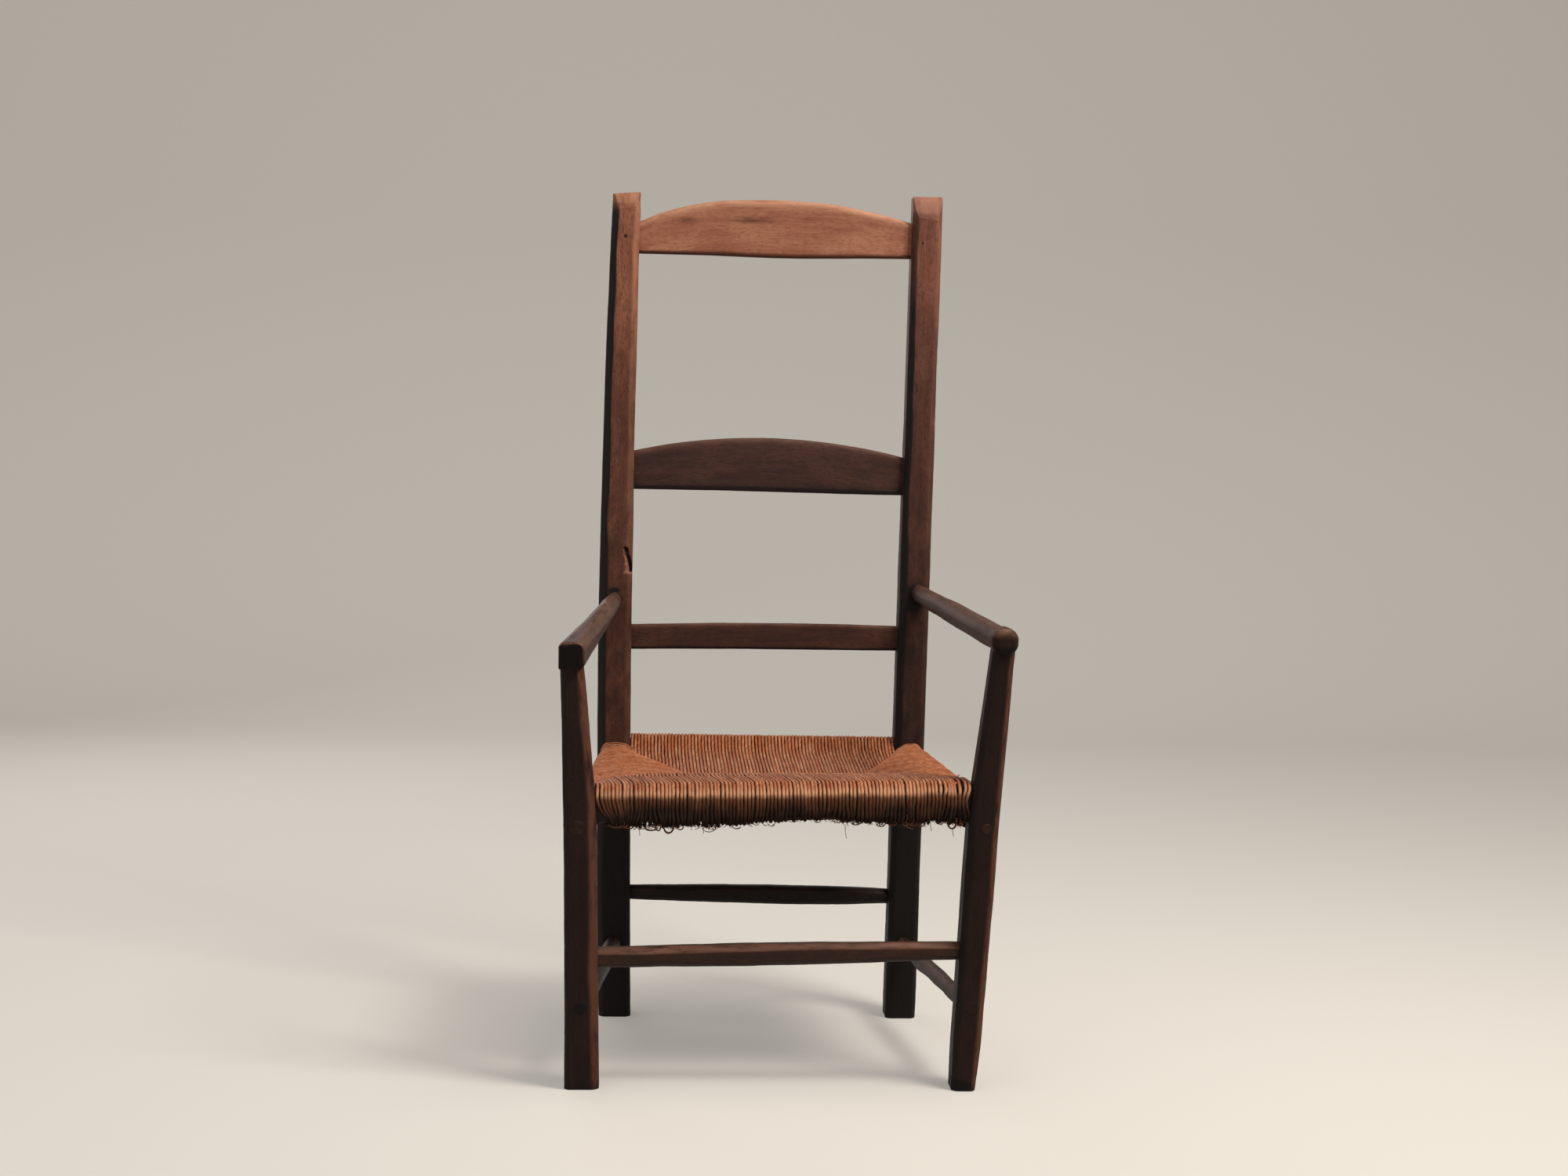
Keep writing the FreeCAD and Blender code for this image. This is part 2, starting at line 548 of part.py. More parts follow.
front_rail = keep("seat_rail_front", seat_rail(
    "front_rail", ("front_rail_left_x", "leg_y", "front_rail_left_z"),
    ("front_rail_right_x", "leg_y", "front_rail_right_z"), "rail_height",
    "rail_tenon_radius", "rail_tenon_length", "rail_tenon_length"))
right_rail = keep("seat_rail_right", seat_rail(
    "right_rail", ("right_rail_front_x", "side_rail_front_y", "right_rail_front_z"),
    ("right_rail_back_x", "side_rail_back_y", "right_rail_back_z"), "side_rail_height",
    "side_tenon_radius", "side_tenon_through", "side_tenon_blind"))
back_rail = keep("seat_rail_back", seat_rail(
    "back_rail", ("back_rail_right_x", "back_rail_y", "back_rail_z"),
    ("back_rail_left_x", "back_rail_y", "back_rail_z"), "rail_height",
    "rail_tenon_radius", "rail_tenon_length", "rail_tenon_length"))
left_rail = keep("seat_rail_left", seat_rail(
    "left_rail", ("left_rail_back_x", "side_rail_back_y", "left_rail_back_z"),
    ("left_rail_front_x", "side_rail_front_y", "left_rail_front_z"), "side_rail_height",
    "side_tenon_radius", "side_tenon_blind", "side_tenon_through"))

front_stretcher = keep("stretcher_front", stretcher(
    "front_stretcher", ("front_stretcher_left_x", "leg_y", "front_stretcher_left_z"),
    ("front_stretcher_right_x", "leg_y", "front_stretcher_right_z"), "front",
    "stretcher_tenon_radius", "stretcher_tenon_length", "stretcher_tenon_length"))
back_stretcher = keep("stretcher_back", stretcher(
    "back_stretcher", ("back_stretcher_right_x", "back_stretcher_y", "back_stretcher_right_z"),
    ("back_stretcher_left_x", "back_stretcher_y", "back_stretcher_left_z"), "back",
    "stretcher_tenon_radius", "stretcher_tenon_length", "stretcher_tenon_length"))
left_stretcher = keep("stretcher_left", stretcher(
    "left_stretcher", ("left_stretcher_back_x", "side_stretcher_back_y", "left_stretcher_z"),
    ("left_stretcher_front_x", "side_stretcher_front_y", "left_stretcher_z"), "side",
    "through_tenon_radius", "stretcher_tenon_length", "side_tenon_through"))
right_stretcher = keep("stretcher_right", stretcher(
    "right_stretcher", ("right_stretcher_front_x", "side_stretcher_front_y", "right_stretcher_z"),
    ("right_stretcher_back_x", "side_stretcher_back_y", "right_stretcher_z"), "side",
    "through_tenon_radius", "side_tenon_through", "stretcher_tenon_length"))

pegs = keep("slat_pegs", slat_pegs())
top_slat = keep("top_slat", cut_from("top_slat", slat("top_slat"), [pegs]))
middle_slat = keep("middle_slat", slat("middle_slat"))
lower_slat = keep("lower_slat", slat("lower_slat"))

left_arm = keep("arm_left", cut_from("arm_left", arm("left"), [left_leg]))
right_arm = keep("arm_right", cut_from("arm_right", arm("right"), [right_leg]))

slats = [top_slat, middle_slat, lower_slat, pegs]
keep("back_post_left", cut_from("back_post_left", left_post, slats + [
    back_rail, left_rail, back_stretcher, left_stretcher, left_arm]))
keep("back_post_right", cut_from("back_post_right", right_post, slats + [
    back_rail, right_rail, back_stretcher, right_stretcher, right_arm]))
keep("front_leg_left", cut_from("front_leg_left", left_leg, [
    front_rail, left_rail, front_stretcher, left_stretcher]))
keep("front_leg_right", cut_from("front_leg_right", right_leg, [
    front_rail, right_rail, front_stretcher, right_stretcher]))

padding = keep("rush_padding", doc.addObject("Part::Ellipsoid", "padding"))
padding.setExpression("Radius1", "Sizes.padding_thickness / 2")
padding.setExpression("Radius2", "Sizes.padding_length / 2")
padding.setExpression("Radius3", "Sizes.padding_width / 2")
padding.setExpression("Placement.Base.x", "(Sizes.bridge_left_x + Sizes.bridge_right_x) / 2")
padding.setExpression("Placement.Base.y", "Sizes.bridge_y")
padding.setExpression("Placement.Base.z", "(Sizes.seat_middle_top + Sizes.seat_middle_bottom) / 2")

front_left = seat_corner("seam_front_left_x", "seam_front_y")
front_right = seat_corner("seam_front_right_x", "seam_front_y")
back_left = seat_corner("seam_back_left_x", "seam_back_y")
back_right = seat_corner("seam_back_right_x", "seam_back_y")
bridge_left = seat_corner("bridge_left_x", "bridge_y")
bridge_right = seat_corner("bridge_right_x", "bridge_y")
side_reach = (sizes["side_reach"], "Sizes.side_reach")
panels = {
    "rush_front": (
        ("front_rail_left_x", "leg_y", "front_rail_left_z"),
        ("front_rail_right_x", "leg_y", "front_rail_right_z"), "rail_height",
        (sizes["bridge_y"] - sizes["leg_y"], "Sizes.bridge_y - Sizes.leg_y"),
        [front_left, seat_corner("seam_front_left_x", "seam_front_y", 0, -1),
         seat_corner("seam_front_right_x", "seam_front_y", 0, -1), front_right,
         bridge_right, bridge_left]),
    "rush_right": (
        ("right_rail_front_x", "side_rail_front_y", "right_rail_front_z"),
        ("right_rail_back_x", "side_rail_back_y", "right_rail_back_z"), "side_rail_height",
        side_reach,
        [front_right, seat_corner("seam_front_right_x", "seam_front_y", 1, 0),
         seat_corner("seam_back_right_x", "seam_back_y", 1, 0), back_right, bridge_right]),
    "rush_back": (
        ("back_rail_right_x", "back_rail_y", "back_rail_z"),
        ("back_rail_left_x", "back_rail_y", "back_rail_z"), "rail_height",
        (sizes["back_rail_y"] - sizes["bridge_y"], "Sizes.back_rail_y - Sizes.bridge_y"),
        [back_right, seat_corner("seam_back_right_x", "seam_back_y", 0, 1),
         seat_corner("seam_back_left_x", "seam_back_y", 0, 1), back_left,
         bridge_left, bridge_right]),
    "rush_left": (
        ("left_rail_back_x", "side_rail_back_y", "left_rail_back_z"),
        ("left_rail_front_x", "side_rail_front_y", "left_rail_front_z"), "side_rail_height",
        side_reach,
        [back_left, seat_corner("seam_back_left_x", "seam_back_y", -1, 0),
         seat_corner("seam_front_left_x", "seam_front_y", -1, 0), front_left, bridge_left]),
}
inside = [front_rail, right_rail, back_rail, left_rail, padding, left_leg, right_leg,
          left_post, right_post]
for label, panel in panels.items():
    keep(label, cut_from(label, rush_panel(label, *panel), inside))

doc.recompute()

# Every object is sound before anything is written.
for item in doc.Objects:
    if "Invalid" in item.State or "Error" in item.State:
        raise SystemExit(f"{item.Label} did not build: {item.State}")
for name, piece in nodes.items():
    if piece.Shape.isNull() or not piece.Shape.isValid():
        raise SystemExit(f"{name} has no sound shape")

os.makedirs("parts", exist_ok=True)
for name, piece in nodes.items():
    piece.Shape.exportStep(f"parts/{name}.step")
    print(f"{name}: {len(piece.Shape.Solids)} solid, {piece.Shape.Volume / 1000:.1f} cm3")
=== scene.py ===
import math

import bpy
import numpy as np
from mathutils import Matrix, Vector


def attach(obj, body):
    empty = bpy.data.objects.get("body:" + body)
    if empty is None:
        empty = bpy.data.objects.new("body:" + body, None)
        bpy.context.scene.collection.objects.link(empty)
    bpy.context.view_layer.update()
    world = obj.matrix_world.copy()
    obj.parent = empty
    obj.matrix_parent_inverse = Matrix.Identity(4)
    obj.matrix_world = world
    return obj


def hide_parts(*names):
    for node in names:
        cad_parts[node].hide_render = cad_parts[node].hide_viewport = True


# A country ladderback armchair in worn, waxed fruitwood with a rush seat, around its CAD frame.
# Lengths are millimetres until a mesh is written, and left and right are the viewer's.

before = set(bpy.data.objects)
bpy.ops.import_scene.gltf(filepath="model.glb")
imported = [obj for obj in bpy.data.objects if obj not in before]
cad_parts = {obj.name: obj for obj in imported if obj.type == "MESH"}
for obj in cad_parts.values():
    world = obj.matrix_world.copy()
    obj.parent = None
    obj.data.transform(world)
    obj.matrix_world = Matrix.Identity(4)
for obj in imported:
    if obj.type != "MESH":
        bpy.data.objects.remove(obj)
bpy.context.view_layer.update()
scene = bpy.context.scene
print("frame loaded")

metre = 0.001
postRake = 0.0579   # how far the posts lean back for each unit up


def linearColour(code):
    parts = [int(code[i:i + 2], 16) / 255 for i in (1, 3, 5)]
    return [c / 12.92 if c < 0.04045 else ((c + 0.055) / 1.055) ** 2.4 for c in parts] + [1]


def addNode(tree, kind, settings, inputs):
    # settings may be the operation alone; an input is a plain value, a socket, or a node
    # whose first output is meant, in a dictionary or in the order of the sockets
    node = tree.nodes.new("ShaderNode" + kind)
    if isinstance(settings, str):
        settings = {"operation": settings}
    for key, value in settings.items():
        setattr(node, key, value)
    for key, value in inputs.items() if isinstance(inputs, dict) else enumerate(inputs):
        if isinstance(value, bpy.types.Node):
            value = next(output for output in value.outputs if output.enabled)
        if isinstance(value, bpy.types.NodeSocket):
            tree.links.new(value, node.inputs[key])
        else:
            node.inputs[key].default_value = value
    return node


def unit(vector):
    vector = np.asarray(vector, float)
    return vector / np.linalg.norm(vector, axis=-1, keepdims=True)


def softNoise(points, bump, seed):
    # smooth noise from -1 to 1; bump is the size of one rise along each axis
    scaled = np.asarray(points, float) / np.asarray(bump, float)
    low = np.floor(scaled).astype(np.int64)
    part = scaled - low
    part = part * part * (3 - 2 * part)
    total = 0
    for corner in range(8):
        step = np.array([corner & 1, corner >> 1 & 1, corner >> 2 & 1])
        cell = low + step
        mixed = cell[..., 0] * 73856093 ^ cell[..., 1] * 19349663 ^ cell[..., 2] * 83492791 ^ seed
        mixed = (mixed ^ (mixed >> 13)) * 1274126177 & 0x7FFFFFFFFFFF
        value = ((mixed ^ (mixed >> 16)) & 0xFFFF) / 65535
        total = total + np.prod(np.where(step == 1, part, 1 - part), axis=-1) * value
    return total * 2 - 1


def spot(points, centre, reach):
    # 1 at a place, fading to 0 about one reach away
    away = ((points - np.array(centre)) / np.array(reach)) ** 2
    return np.exp(-away.sum(-1))


def press(points, centre, reach, push):
    return points + spot(points, centre, reach)[..., None] * np.array(push, float)


def ease(value, low, high):
    share = np.clip((value - low) / (high - low), 0, 1)
    return share * share * (3 - 2 * share)


# materials

woodPatterns = {   # scale per metre along the grain, across and through it; detail
    "sway": ((12, 26, 26), 2),
    "streak": ((7, 150, 150), 4),       # bands about 6 mm wide
    "fibre": ((55, 1100, 1100), 3),     # fibres under 1 mm wide
    "blotch": ((11, 24, 24), 3),        # tones 40 to 90 mm across
    "stain": ((16, 46, 46), 3),
    "fleck": ((190, 620, 620), 2),      # pores and rubbed-in dirt, 2 by 5 mm
    "mottle": ((130, 280, 280), 3),     # leathery spots, 4 by 8 mm
    "rub": ((26, 110, 110), 3),
    "soil": ((34, 60, 60), 4),
    "wormy": ((13, 30, 30), 1),
}
woodMasks = {      # pattern: value that gives 0, value that gives 1
    "streak": (0.60, 0.40), "fibre": (0.60, 0.38), "blotch": (0.46, 0.64),
    "stain": (0.56, 0.70), "fleck": (0.57, 0.67), "rub": (0.26, 0.54),
    "mottle": (0.50, 0.64), "wormy": (0.42, 0.62),
}
clampedSum = {"operation": "MULTIPLY_ADD", "use_clamp": True}


def newMaterial(name):
    material = bpy.data.materials.new(name)
    material.use_nodes = True
    material.node_tree.nodes.clear()
    return material, material.node_tree


def patternNoises(tree, place, patterns):
    # a noise for each row of a table, and the place as the sway row has moved it
    noises = {}
    for key, (scale, detail) in patterns.items():
        spread = addNode(tree, "VectorMath", "MULTIPLY", [place, scale])
        noises[key] = addNode(tree, "TexNoise", {}, {"Vector": spread, "Scale": 1,
            "Detail": detail, "Roughness": 0.6})
        if key == "sway":   # the later patterns wander with the grain
            place = addNode(tree, "VectorMath", "MULTIPLY_ADD",
                [noises[key].outputs["Color"], (0, 0.012, 0.012), place])
    return noises, place


def paintOver(tree, colour, layers):
    # each layer covers the colour with its paint by its mask and amount
    for mask, amount, paint in layers:
        share = addNode(tree, "Math", "MULTIPLY", [mask, amount])
        colour = addNode(tree, "Mix", {"data_type": "RGBA"}, {0: share, 6: colour, 7: paint})
    return colour


def waxedWood(name, look):
    # hand-shaved fruitwood under old wax: fine fibres and soft streaks along the grain,
    # rubbed paler on the edges, with painted highlights on some, nearly black where dirt gathered
    # and where shade is painted, pricked with worm holes
    material, tree = newMaterial(name)
    place, wornAndHighlight, grimeAndShade = [addNode(tree, "Attribute", {"attribute_name": key}, []).outputs[form]
        for key, form in (("grain", "Vector"), ("wornAndHighlight", "Fac"), ("grimeAndShade", "Fac"))]
    noises, place = patternNoises(tree, place, woodPatterns)
    masks = {key: addNode(tree, "MapRange", {}, [noises[key], low, high])
        for key, (low, high) in woodMasks.items()}
    masks["rubbedAndHighlight"] = addNode(tree, "Math", "MULTIPLY", [wornAndHighlight, masks["rub"]])
    # the grime value holds dirt and painted shade alike, and this mask paints both dark, mottled
    # by noise
    half = addNode(tree, "Math", "MULTIPLY_ADD", [noises["soil"], 0.6, -0.6])
    masks["dirtyAndShaded"] = addNode(tree, "Math", clampedSum, [grimeAndShade, 1.6, half])
    cells = addNode(tree, "VectorMath", "SCALE", {0: place, "Scale": look["wormsPerMetre"]})
    holes = addNode(tree, "TexVoronoi", {}, {"Vector": cells, "Scale": 1})
    pick = addNode(tree, "SeparateColor", {}, [holes.outputs["Color"]])
    limit = addNode(tree, "Math", "MULTIPLY", [masks["wormy"], look["worms"]])
    chosen = addNode(tree, "Math", "LESS_THAN", [pick, limit])
    rim = addNode(tree, "MapRange", {}, [holes.outputs["Distance"], 0.20, 0.13])
    masks["hole"] = addNode(tree, "Math", "MULTIPLY", [rim, chosen])
    layers = (("streak", 0.5, "dark"), ("blotch", 0.75, "light"), ("stain", 0.5, "dark"),
        ("mottle", 0.45, "dark"), ("fibre", 0.3, "dark"), ("fleck", look["flecks"], "dirtAndShade"),
        ("rubbedAndHighlight", look["wear"], "rubbedAndHighlight"), ("dirtyAndShaded", 1, "dirtAndShade"), ("hole", 0.95, "worm"))
    colour = paintOver(tree, linearColour(look["mid"]), [
        (masks[mask], amount, linearColour(look[paint])) for mask, amount, paint in layers])
    height = addNode(tree, "Math", "ADD", [noises["fibre"], noises["streak"]])
    height = addNode(tree, "Math", "MULTIPLY_ADD", [masks["hole"], -3, height])
    bump = addNode(tree, "Bump", {}, {"Strength": 0.7, "Distance": 0.0005, "Height": height})
    gloss = addNode(tree, "Math", "MULTIPLY_ADD", [noises["fibre"], 0.3, look["rough"] - 0.15])
    gloss = addNode(tree, "Math", clampedSum, [masks["dirtyAndShaded"], 0.12, gloss])
    shader = addNode(tree, "BsdfPrincipled", {}, {"Base Color": colour, "Roughness": gloss,
        "IOR": 1.5, "Specular IOR Level": look["shine"], "Normal": bump})
    addNode(tree, "OutputMaterial", {}, [shader])
    return material


woodColumns = ("dark", "mid", "light", "rubbedAndHighlight", "dirtAndShade", "worm", "wear", "worms",
    "wormsPerMetre", "rough", "shine", "flecks")
# one wood in lit and shaded copies: top slat and posts pale, middle and lower slats and legs
# nearly black, painted shade where less light falls, over some real dirt low down
woodLooks = {
    "postLeft": ("#66392a", "#965c46", "#a96e52", "#bc8768", "#180d0b", "#120906",
        0.8, 0.5, 300, 0.5, 0.2, 0.5),
    "postRight": ("#562f24", "#7e4d3c", "#8f5b46", "#a8745c", "#140c0a", "#100806",
        0.75, 0.36, 300, 0.5, 0.2, 0.45),
    "leg": ("#1b0f0c", "#271712", "#301d17", "#694232", "#0f0908", "#0a0605",
        0.95, 0.16, 300, 0.52, 0.16, 0.5),
    "topSlat": ("#854d39", "#a86c53", "#b67e61", "#cf9e7c", "#4a281b", "#21120d",
        0.8, 0.06, 300, 0.5, 0.2, 0.25),
    "middleSlat": ("#2f1d19", "#472c25", "#57382e", "#7a5342", "#1a100e", "#0f0907",
        0.6, 0.06, 260, 0.5, 0.2, 0.4),
    "lowerSlat": ("#301b15", "#492b22", "#593829", "#7a4f3d", "#1a100d", "#0f0907",
        0.6, 0.06, 260, 0.5, 0.2, 0.4),
    "arm": ("#33201a", "#4c3229", "#5c4034", "#8a6654", "#150e0b", "#0d0806",
        0.75, 0.05, 260, 0.5, 0.12, 0.4),
    "stretcher": ("#27160f", "#3d251d", "#4d3126", "#805744", "#140c0a", "#0d0806",
        0.75, 0.05, 260, 0.46, 0.22, 0.4),
}
woods = {key: waxedWood("waxedFruitwoodLitAndShaded_" + key, dict(zip(woodColumns, row)))
    for key, row in woodLooks.items()}

# the darkest colour paints the shade between cords; brown and dust paint dirt and the painted
# shade below the rolls
rushLook = {"straw": "#d58a61", "amber": "#b0603a", "pale": "#ecb188", "creaseShade": "#27120a",
    "brown": "#402d25", "dust": "#342923", "rough": 0.5, "shine": 0.07}
rushPatterns = {   # scale per metre of cord, per turn round it, per cord
    "drift": ((11, 0.4, 31), 3),         # colour changes every 90 mm or so
    "fibre": ((60, 5, 17), 3),           # five leaves' edges round a cord
    "soil": ((60, 2, 11), 3),
}


def twistedRush(name, look):
    # dried rush leaves twisted by hand: satiny golden strips with fine fibres along the twist, no
    # two turns of cord alike, painted shade where they press together, brown where dirt settled
    # and where shade is painted on the rolls and underneath, paler along the front roll's crest, a
    # painted highlight with some rubbing
    material, tree = newMaterial(name)
    cord, grimeAndShade, creaseShade, wornAndHighlight = [
        addNode(tree, "Attribute", {"attribute_name": key}, []).outputs[form] for key, form in
        (("cord", "Vector"), ("grimeAndShade", "Fac"), ("creaseShade", "Fac"), ("wornAndHighlight", "Fac"))]
    paint = {key: linearColour(value) for key, value in look.items() if str(value)[0] == "#"}
    which = addNode(tree, "SeparateXYZ", {}, [cord]).outputs["Z"]
    each = addNode(tree, "TexWhiteNoise", {"noise_dimensions": "1D"}, {"W": which})
    noises, _ = patternNoises(tree, cord, rushPatterns)
    pale, fibre, dusty = [addNode(tree, "MapRange", {}, [noises[key], low, high])
        for key, low, high in (("drift", 0.46, 0.72), ("fibre", 0.6, 0.35), ("soil", 0.35, 0.62))]
    # the brown that the grime value paints, for dirt and for painted shade
    soiledAndShaded = paintOver(tree, paint["brown"], [(dusty, 1, paint["dust"])])
    colour = paintOver(tree, paint["straw"], [
        (each.outputs["Value"], 0.85, paint["amber"]), (pale, 0.75, paint["pale"]),
        (fibre, 0.5, paint["amber"]), (fibre, 0.3, paint["creaseShade"]), (wornAndHighlight, 0.8, paint["pale"]),
        (grimeAndShade, 1, soiledAndShaded), (creaseShade, 0.92, paint["creaseShade"])])
    bump = addNode(tree, "Bump", {}, {"Strength": 0.6, "Distance": 0.0005,
        "Height": noises["fibre"]})
    gloss = addNode(tree, "Math", clampedSum, [grimeAndShade, 0.3, look["rough"]])
    shader = addNode(tree, "BsdfPrincipled", {}, {"Base Color": colour, "Normal": bump,
        "Roughness": gloss, "IOR": 1.5, "Specular IOR Level": look["shine"]})
    addNode(tree, "OutputMaterial", {}, [shader])
    return material


rush = twistedRush("twistedRush", rushLook)
print("materials made")


# mesh writing

def addObject(name, data):
    made = bpy.data.objects.new(name, data)
    scene.collection.objects.link(made)
    return made


def meshObject(name, points, faces, material):
    mesh = bpy.data.meshes.new(name)
    mesh.from_pydata(points, [], faces)
    mesh.polygons.foreach_set("use_smooth", np.ones(len(mesh.polygons), bool))
    mesh.materials.append(material)
    return addObject(name, mesh)


def writePiece(name, points, faces, material, replaced, attributes):
    piece = meshObject(name, (np.asarray(points) * metre).tolist(), faces, material)
    for key, values in attributes.items():
        isVector = values.ndim == 2
        layer = piece.data.attributes.new(key, "FLOAT_VECTOR" if isVector else "FLOAT", "POINT")
        layer.data.foreach_set("vector" if isVector else "value",
            values.astype(np.float32).ravel())
    piece.data.update()
    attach(piece, "root")
    if replaced:
        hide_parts(replaced)


def runLengths(line):
    return np.append(0, np.cumsum(np.linalg.norm(np.diff(line, axis=0), axis=1)))


# shaved sticks: posts, legs, rails, stretchers, arms, slats, pegs and tenons

sideSteps, cornerSteps = 12, 5   # faces along each side, points round each chamfer


def sectionRing(width, depth, corners, flat):
    # chamfered rectangles, one for each ring, from the corner at low A and low B;
    # flat 0 rounds the corners and 1 cuts them straight
    share = np.linspace(0, 1, cornerSteps)[:, None]
    half = np.stack([width, depth], -1)[:, None] / 2
    bends, ring = [], []
    for index, signs in enumerate(((-1, -1), (1, -1), (1, 1), (-1, 1))):
        size = corners[:, index, None, None]
        angle = math.pi + (index + share) * math.pi / 2
        arc = signs * (half - size) + size * np.hstack([np.cos(angle), np.sin(angle)])
        straight = arc[:, :1] + (arc[:, -1:] - arc[:, :1]) * share
        bends.append(arc + (straight - arc) * flat)
    inner = (np.arange(1, sideSteps) / sideSteps)[None, :, None]
    for index in range(4):
        start, end = bends[index][:, -1:], bends[(index + 1) % 4][:, :1]
        ring += [bends[index], start + (end - start) * inner]
    return np.concatenate(ring, 1)


def cornerShares(amounts, spread):
    # how much of each corner's amount a ring's point gets: all on the chamfer, some beside it
    return np.concatenate([
        [now] * cornerSteps + [now * spread] + [0] * (sideSteps - 3) + [after * spread]
        for now, after in zip(amounts, [*amounts[1:], amounts[0]])])


def throughStations(places, values, share):
    # a smooth line through three stations, straight runs between more
    if len(places) == 3:
        return np.polyval(np.polyfit(places, values, 2), share)
    return np.interp(share, places, values)


def makeStick(name, wood, spec, replaced=None):
    stations = np.array(spec["stations"], float)   # share, x, y, z, width, depth
    way = stations[-1, 1:4] - stations[0, 1:4]
    length = np.linalg.norm(way)
    if "axes" in spec:
        acrossA, acrossB = spec["axes"]
    else:
        acrossA = unit(np.cross(spec.get("upward", (0, 0, 1)), way))
        acrossB = np.cross(way / length, acrossA)
    roundStart, roundEnd = spec.get("rounds", (0, 0))
    turn = 1 - np.sin(np.linspace(0, math.pi / 2, 8))
    share = np.concatenate([np.linspace(0, 1, int(length / spec.get("step", 2.8)) + 2),
        turn * roundStart / length, 1 - turn * roundEnd / length, spec.get("extraShares", [])])
    share = np.unique(np.round(share, 6))
    share = share[np.diff(share, prepend=-1) * length > 0.2]
    values = np.stack([throughStations(stations[:, 0], stations[:, k], share)
        for k in range(1, 6)], -1)
    centres, width, depth = values[:, :3], values[:, 3], values[:, 4]
    corners = np.broadcast_to(spec["corners"], (len(stations), 4))
    corners = np.stack([np.interp(share, stations[:, 0], corners[:, k]) for k in range(4)], -1)
    if "profile" in spec:
        centres, width, depth = spec["profile"](share, centres, width, depth)
    along = runLengths(centres)
    inset = np.zeros(len(share))
    for size, gap in ((roundStart, along), (roundEnd, along[-1] - along)):
        if size:
            near = np.clip(size - gap, 0, size)
            inset = np.maximum(inset, size - np.sqrt(size ** 2 - near ** 2))
    caps = [0.84, 0.62, 0.36, 0.12]
    order = [0] * len(caps) + list(range(len(share))) + [len(share) - 1] * len(caps)
    scale = np.array(caps[::-1] + [1] * len(share) + caps)
    width = (width - 2 * inset)[order] * scale
    depth = (depth - 2 * inset)[order] * scale
    seed = sum(ord(letter) * (place + 3) for place, letter in enumerate(name))
    places = np.outer(along, (1, 0, 0))[:, None] + np.arange(4)[:, None] * 37.3
    waver = softNoise(places, 45, seed)
    corners = np.maximum(corners - inset[:, None], 0.6)
    corners = (corners * (1 + spec.get("uneven", 0.25) * waver))[order] * scale[:, None]
    corners = np.minimum(corners, (np.minimum(width, depth) / 2 - 0.02)[:, None])
    ring = sectionRing(width, depth, corners, spec.get("flat", 0.6))
    points = centres[order][:, None, :] + ring[..., :1] * acrossA + ring[..., 1:] * acrossB
    outward = unit(ring[..., :1] * acrossA / width[:, None, None] ** 2 +
        ring[..., 1:] * acrossB / depth[:, None, None] ** 2)
    runs = np.repeat(along[order][:, None], ring.shape[1], 1)
    grain = np.stack([runs, ring[..., 0], ring[..., 1]], -1)
    low, fine = spec.get("shaving", (0.7, 0.3))
    lift = low * softNoise(grain, (110, 40, 40), seed + 1)
    lift += fine * softNoise(grain, (34, 9, 9), seed + 2)
    lift += min(fine, 0.14) * softNoise(grain, (7, 4, 4), seed + 3)
    points = points + outward * (lift * scale[:, None])[..., None]
    rows, cols = runs.shape
    wornAndHighlight, grimeAndShade = [np.tile(cornerShares(spec.get(key, [amount] * 4), spread), (rows, 1))
        for key, amount, spread in (("edgeWear", 1, 0.4), ("edgeGrime", 0, 0.1))]
    wornAndHighlight = np.maximum(wornAndHighlight, (inset[order] > 0.4)[:, None] * spec.get("endWear", 0.7))
    grimeAndShade += spec.get("grimeAndShade", 0)
    if "reshape" in spec:
        points, wornAndHighlight, grimeAndShade = spec["reshape"](points, wornAndHighlight, grimeAndShade)
    index = np.arange(rows * cols).reshape(rows, cols)
    beside = np.roll(index, -1, 1)
    first, last = rows * cols, rows * cols + 1
    faces = np.stack([index[:-1], beside[:-1], beside[1:], index[1:]], -1).reshape(-1, 4)
    faces = faces.tolist() + [[first, b, a] for a, b in zip(index[0], beside[0])]
    faces += [[last, a, b] for a, b in zip(index[-1], beside[-1])]
    if np.dot(np.cross(acrossA, acrossB), centres[-1] - centres[0]) < 0:
        faces = [face[::-1] for face in faces]
    offset = np.array([seed % 97, seed % 89, seed % 83]) * 0.37
    points, grain, wornAndHighlight, grimeAndShade = [np.concatenate([part.reshape(-1, *part.shape[2:]),
        [part[0].mean(0), part[-1].mean(0)]]) for part in (points, grain, wornAndHighlight, grimeAndShade)]
    writePiece(name, points, faces, woods[wood], replaced,
        {"grain": grain * metre + offset, "wornAndHighlight": wornAndHighlight, "grimeAndShade": grimeAndShade})


# back posts: raked, a little bowed, chamfered, with a bevel on the front of the top

# the left front chamfers get no paler wear and are darkened, painted shade on the side turned from
# the light; the right ones are paled, wear with a painted highlight
postLooks = {
    "left": {"stations": [(0, -200.8, 162, 0, 43, 44), (0.5027, -209.2, 194.4, 560, 44.2, 44),
        (1, -202.9, 226.8, 1118, 37, 38)],
        "corners": (7.5, 6.5, 6, 6), "top": 1114, "bevelDown": 15, "bevelBack": 4,
        "topTilt": 0.09, "patina": 1, "edgeWear": (0, 0.5, 0.4, 0.3),
        "edgeGrime": (0.75, 0, 0, 0.2)},
    "right": {"stations": [(0, 188.3, 162, 0, 41, 44), (0.5, 197.6, 194.4, 560, 40.5, 44),
        (1, 207.3, 226.6, 1120, 40, 38)],
        "corners": (6.5, 5, 6, 6), "top": 1119.7, "bevelDown": 24, "bevelBack": 7,
        "topTilt": 0.01, "patina": 1.08, "edgeWear": (0.1, 0.45, 0.4, 0.3),
        "edgeGrime": (0.42, 0, 0, 0.2)},
}
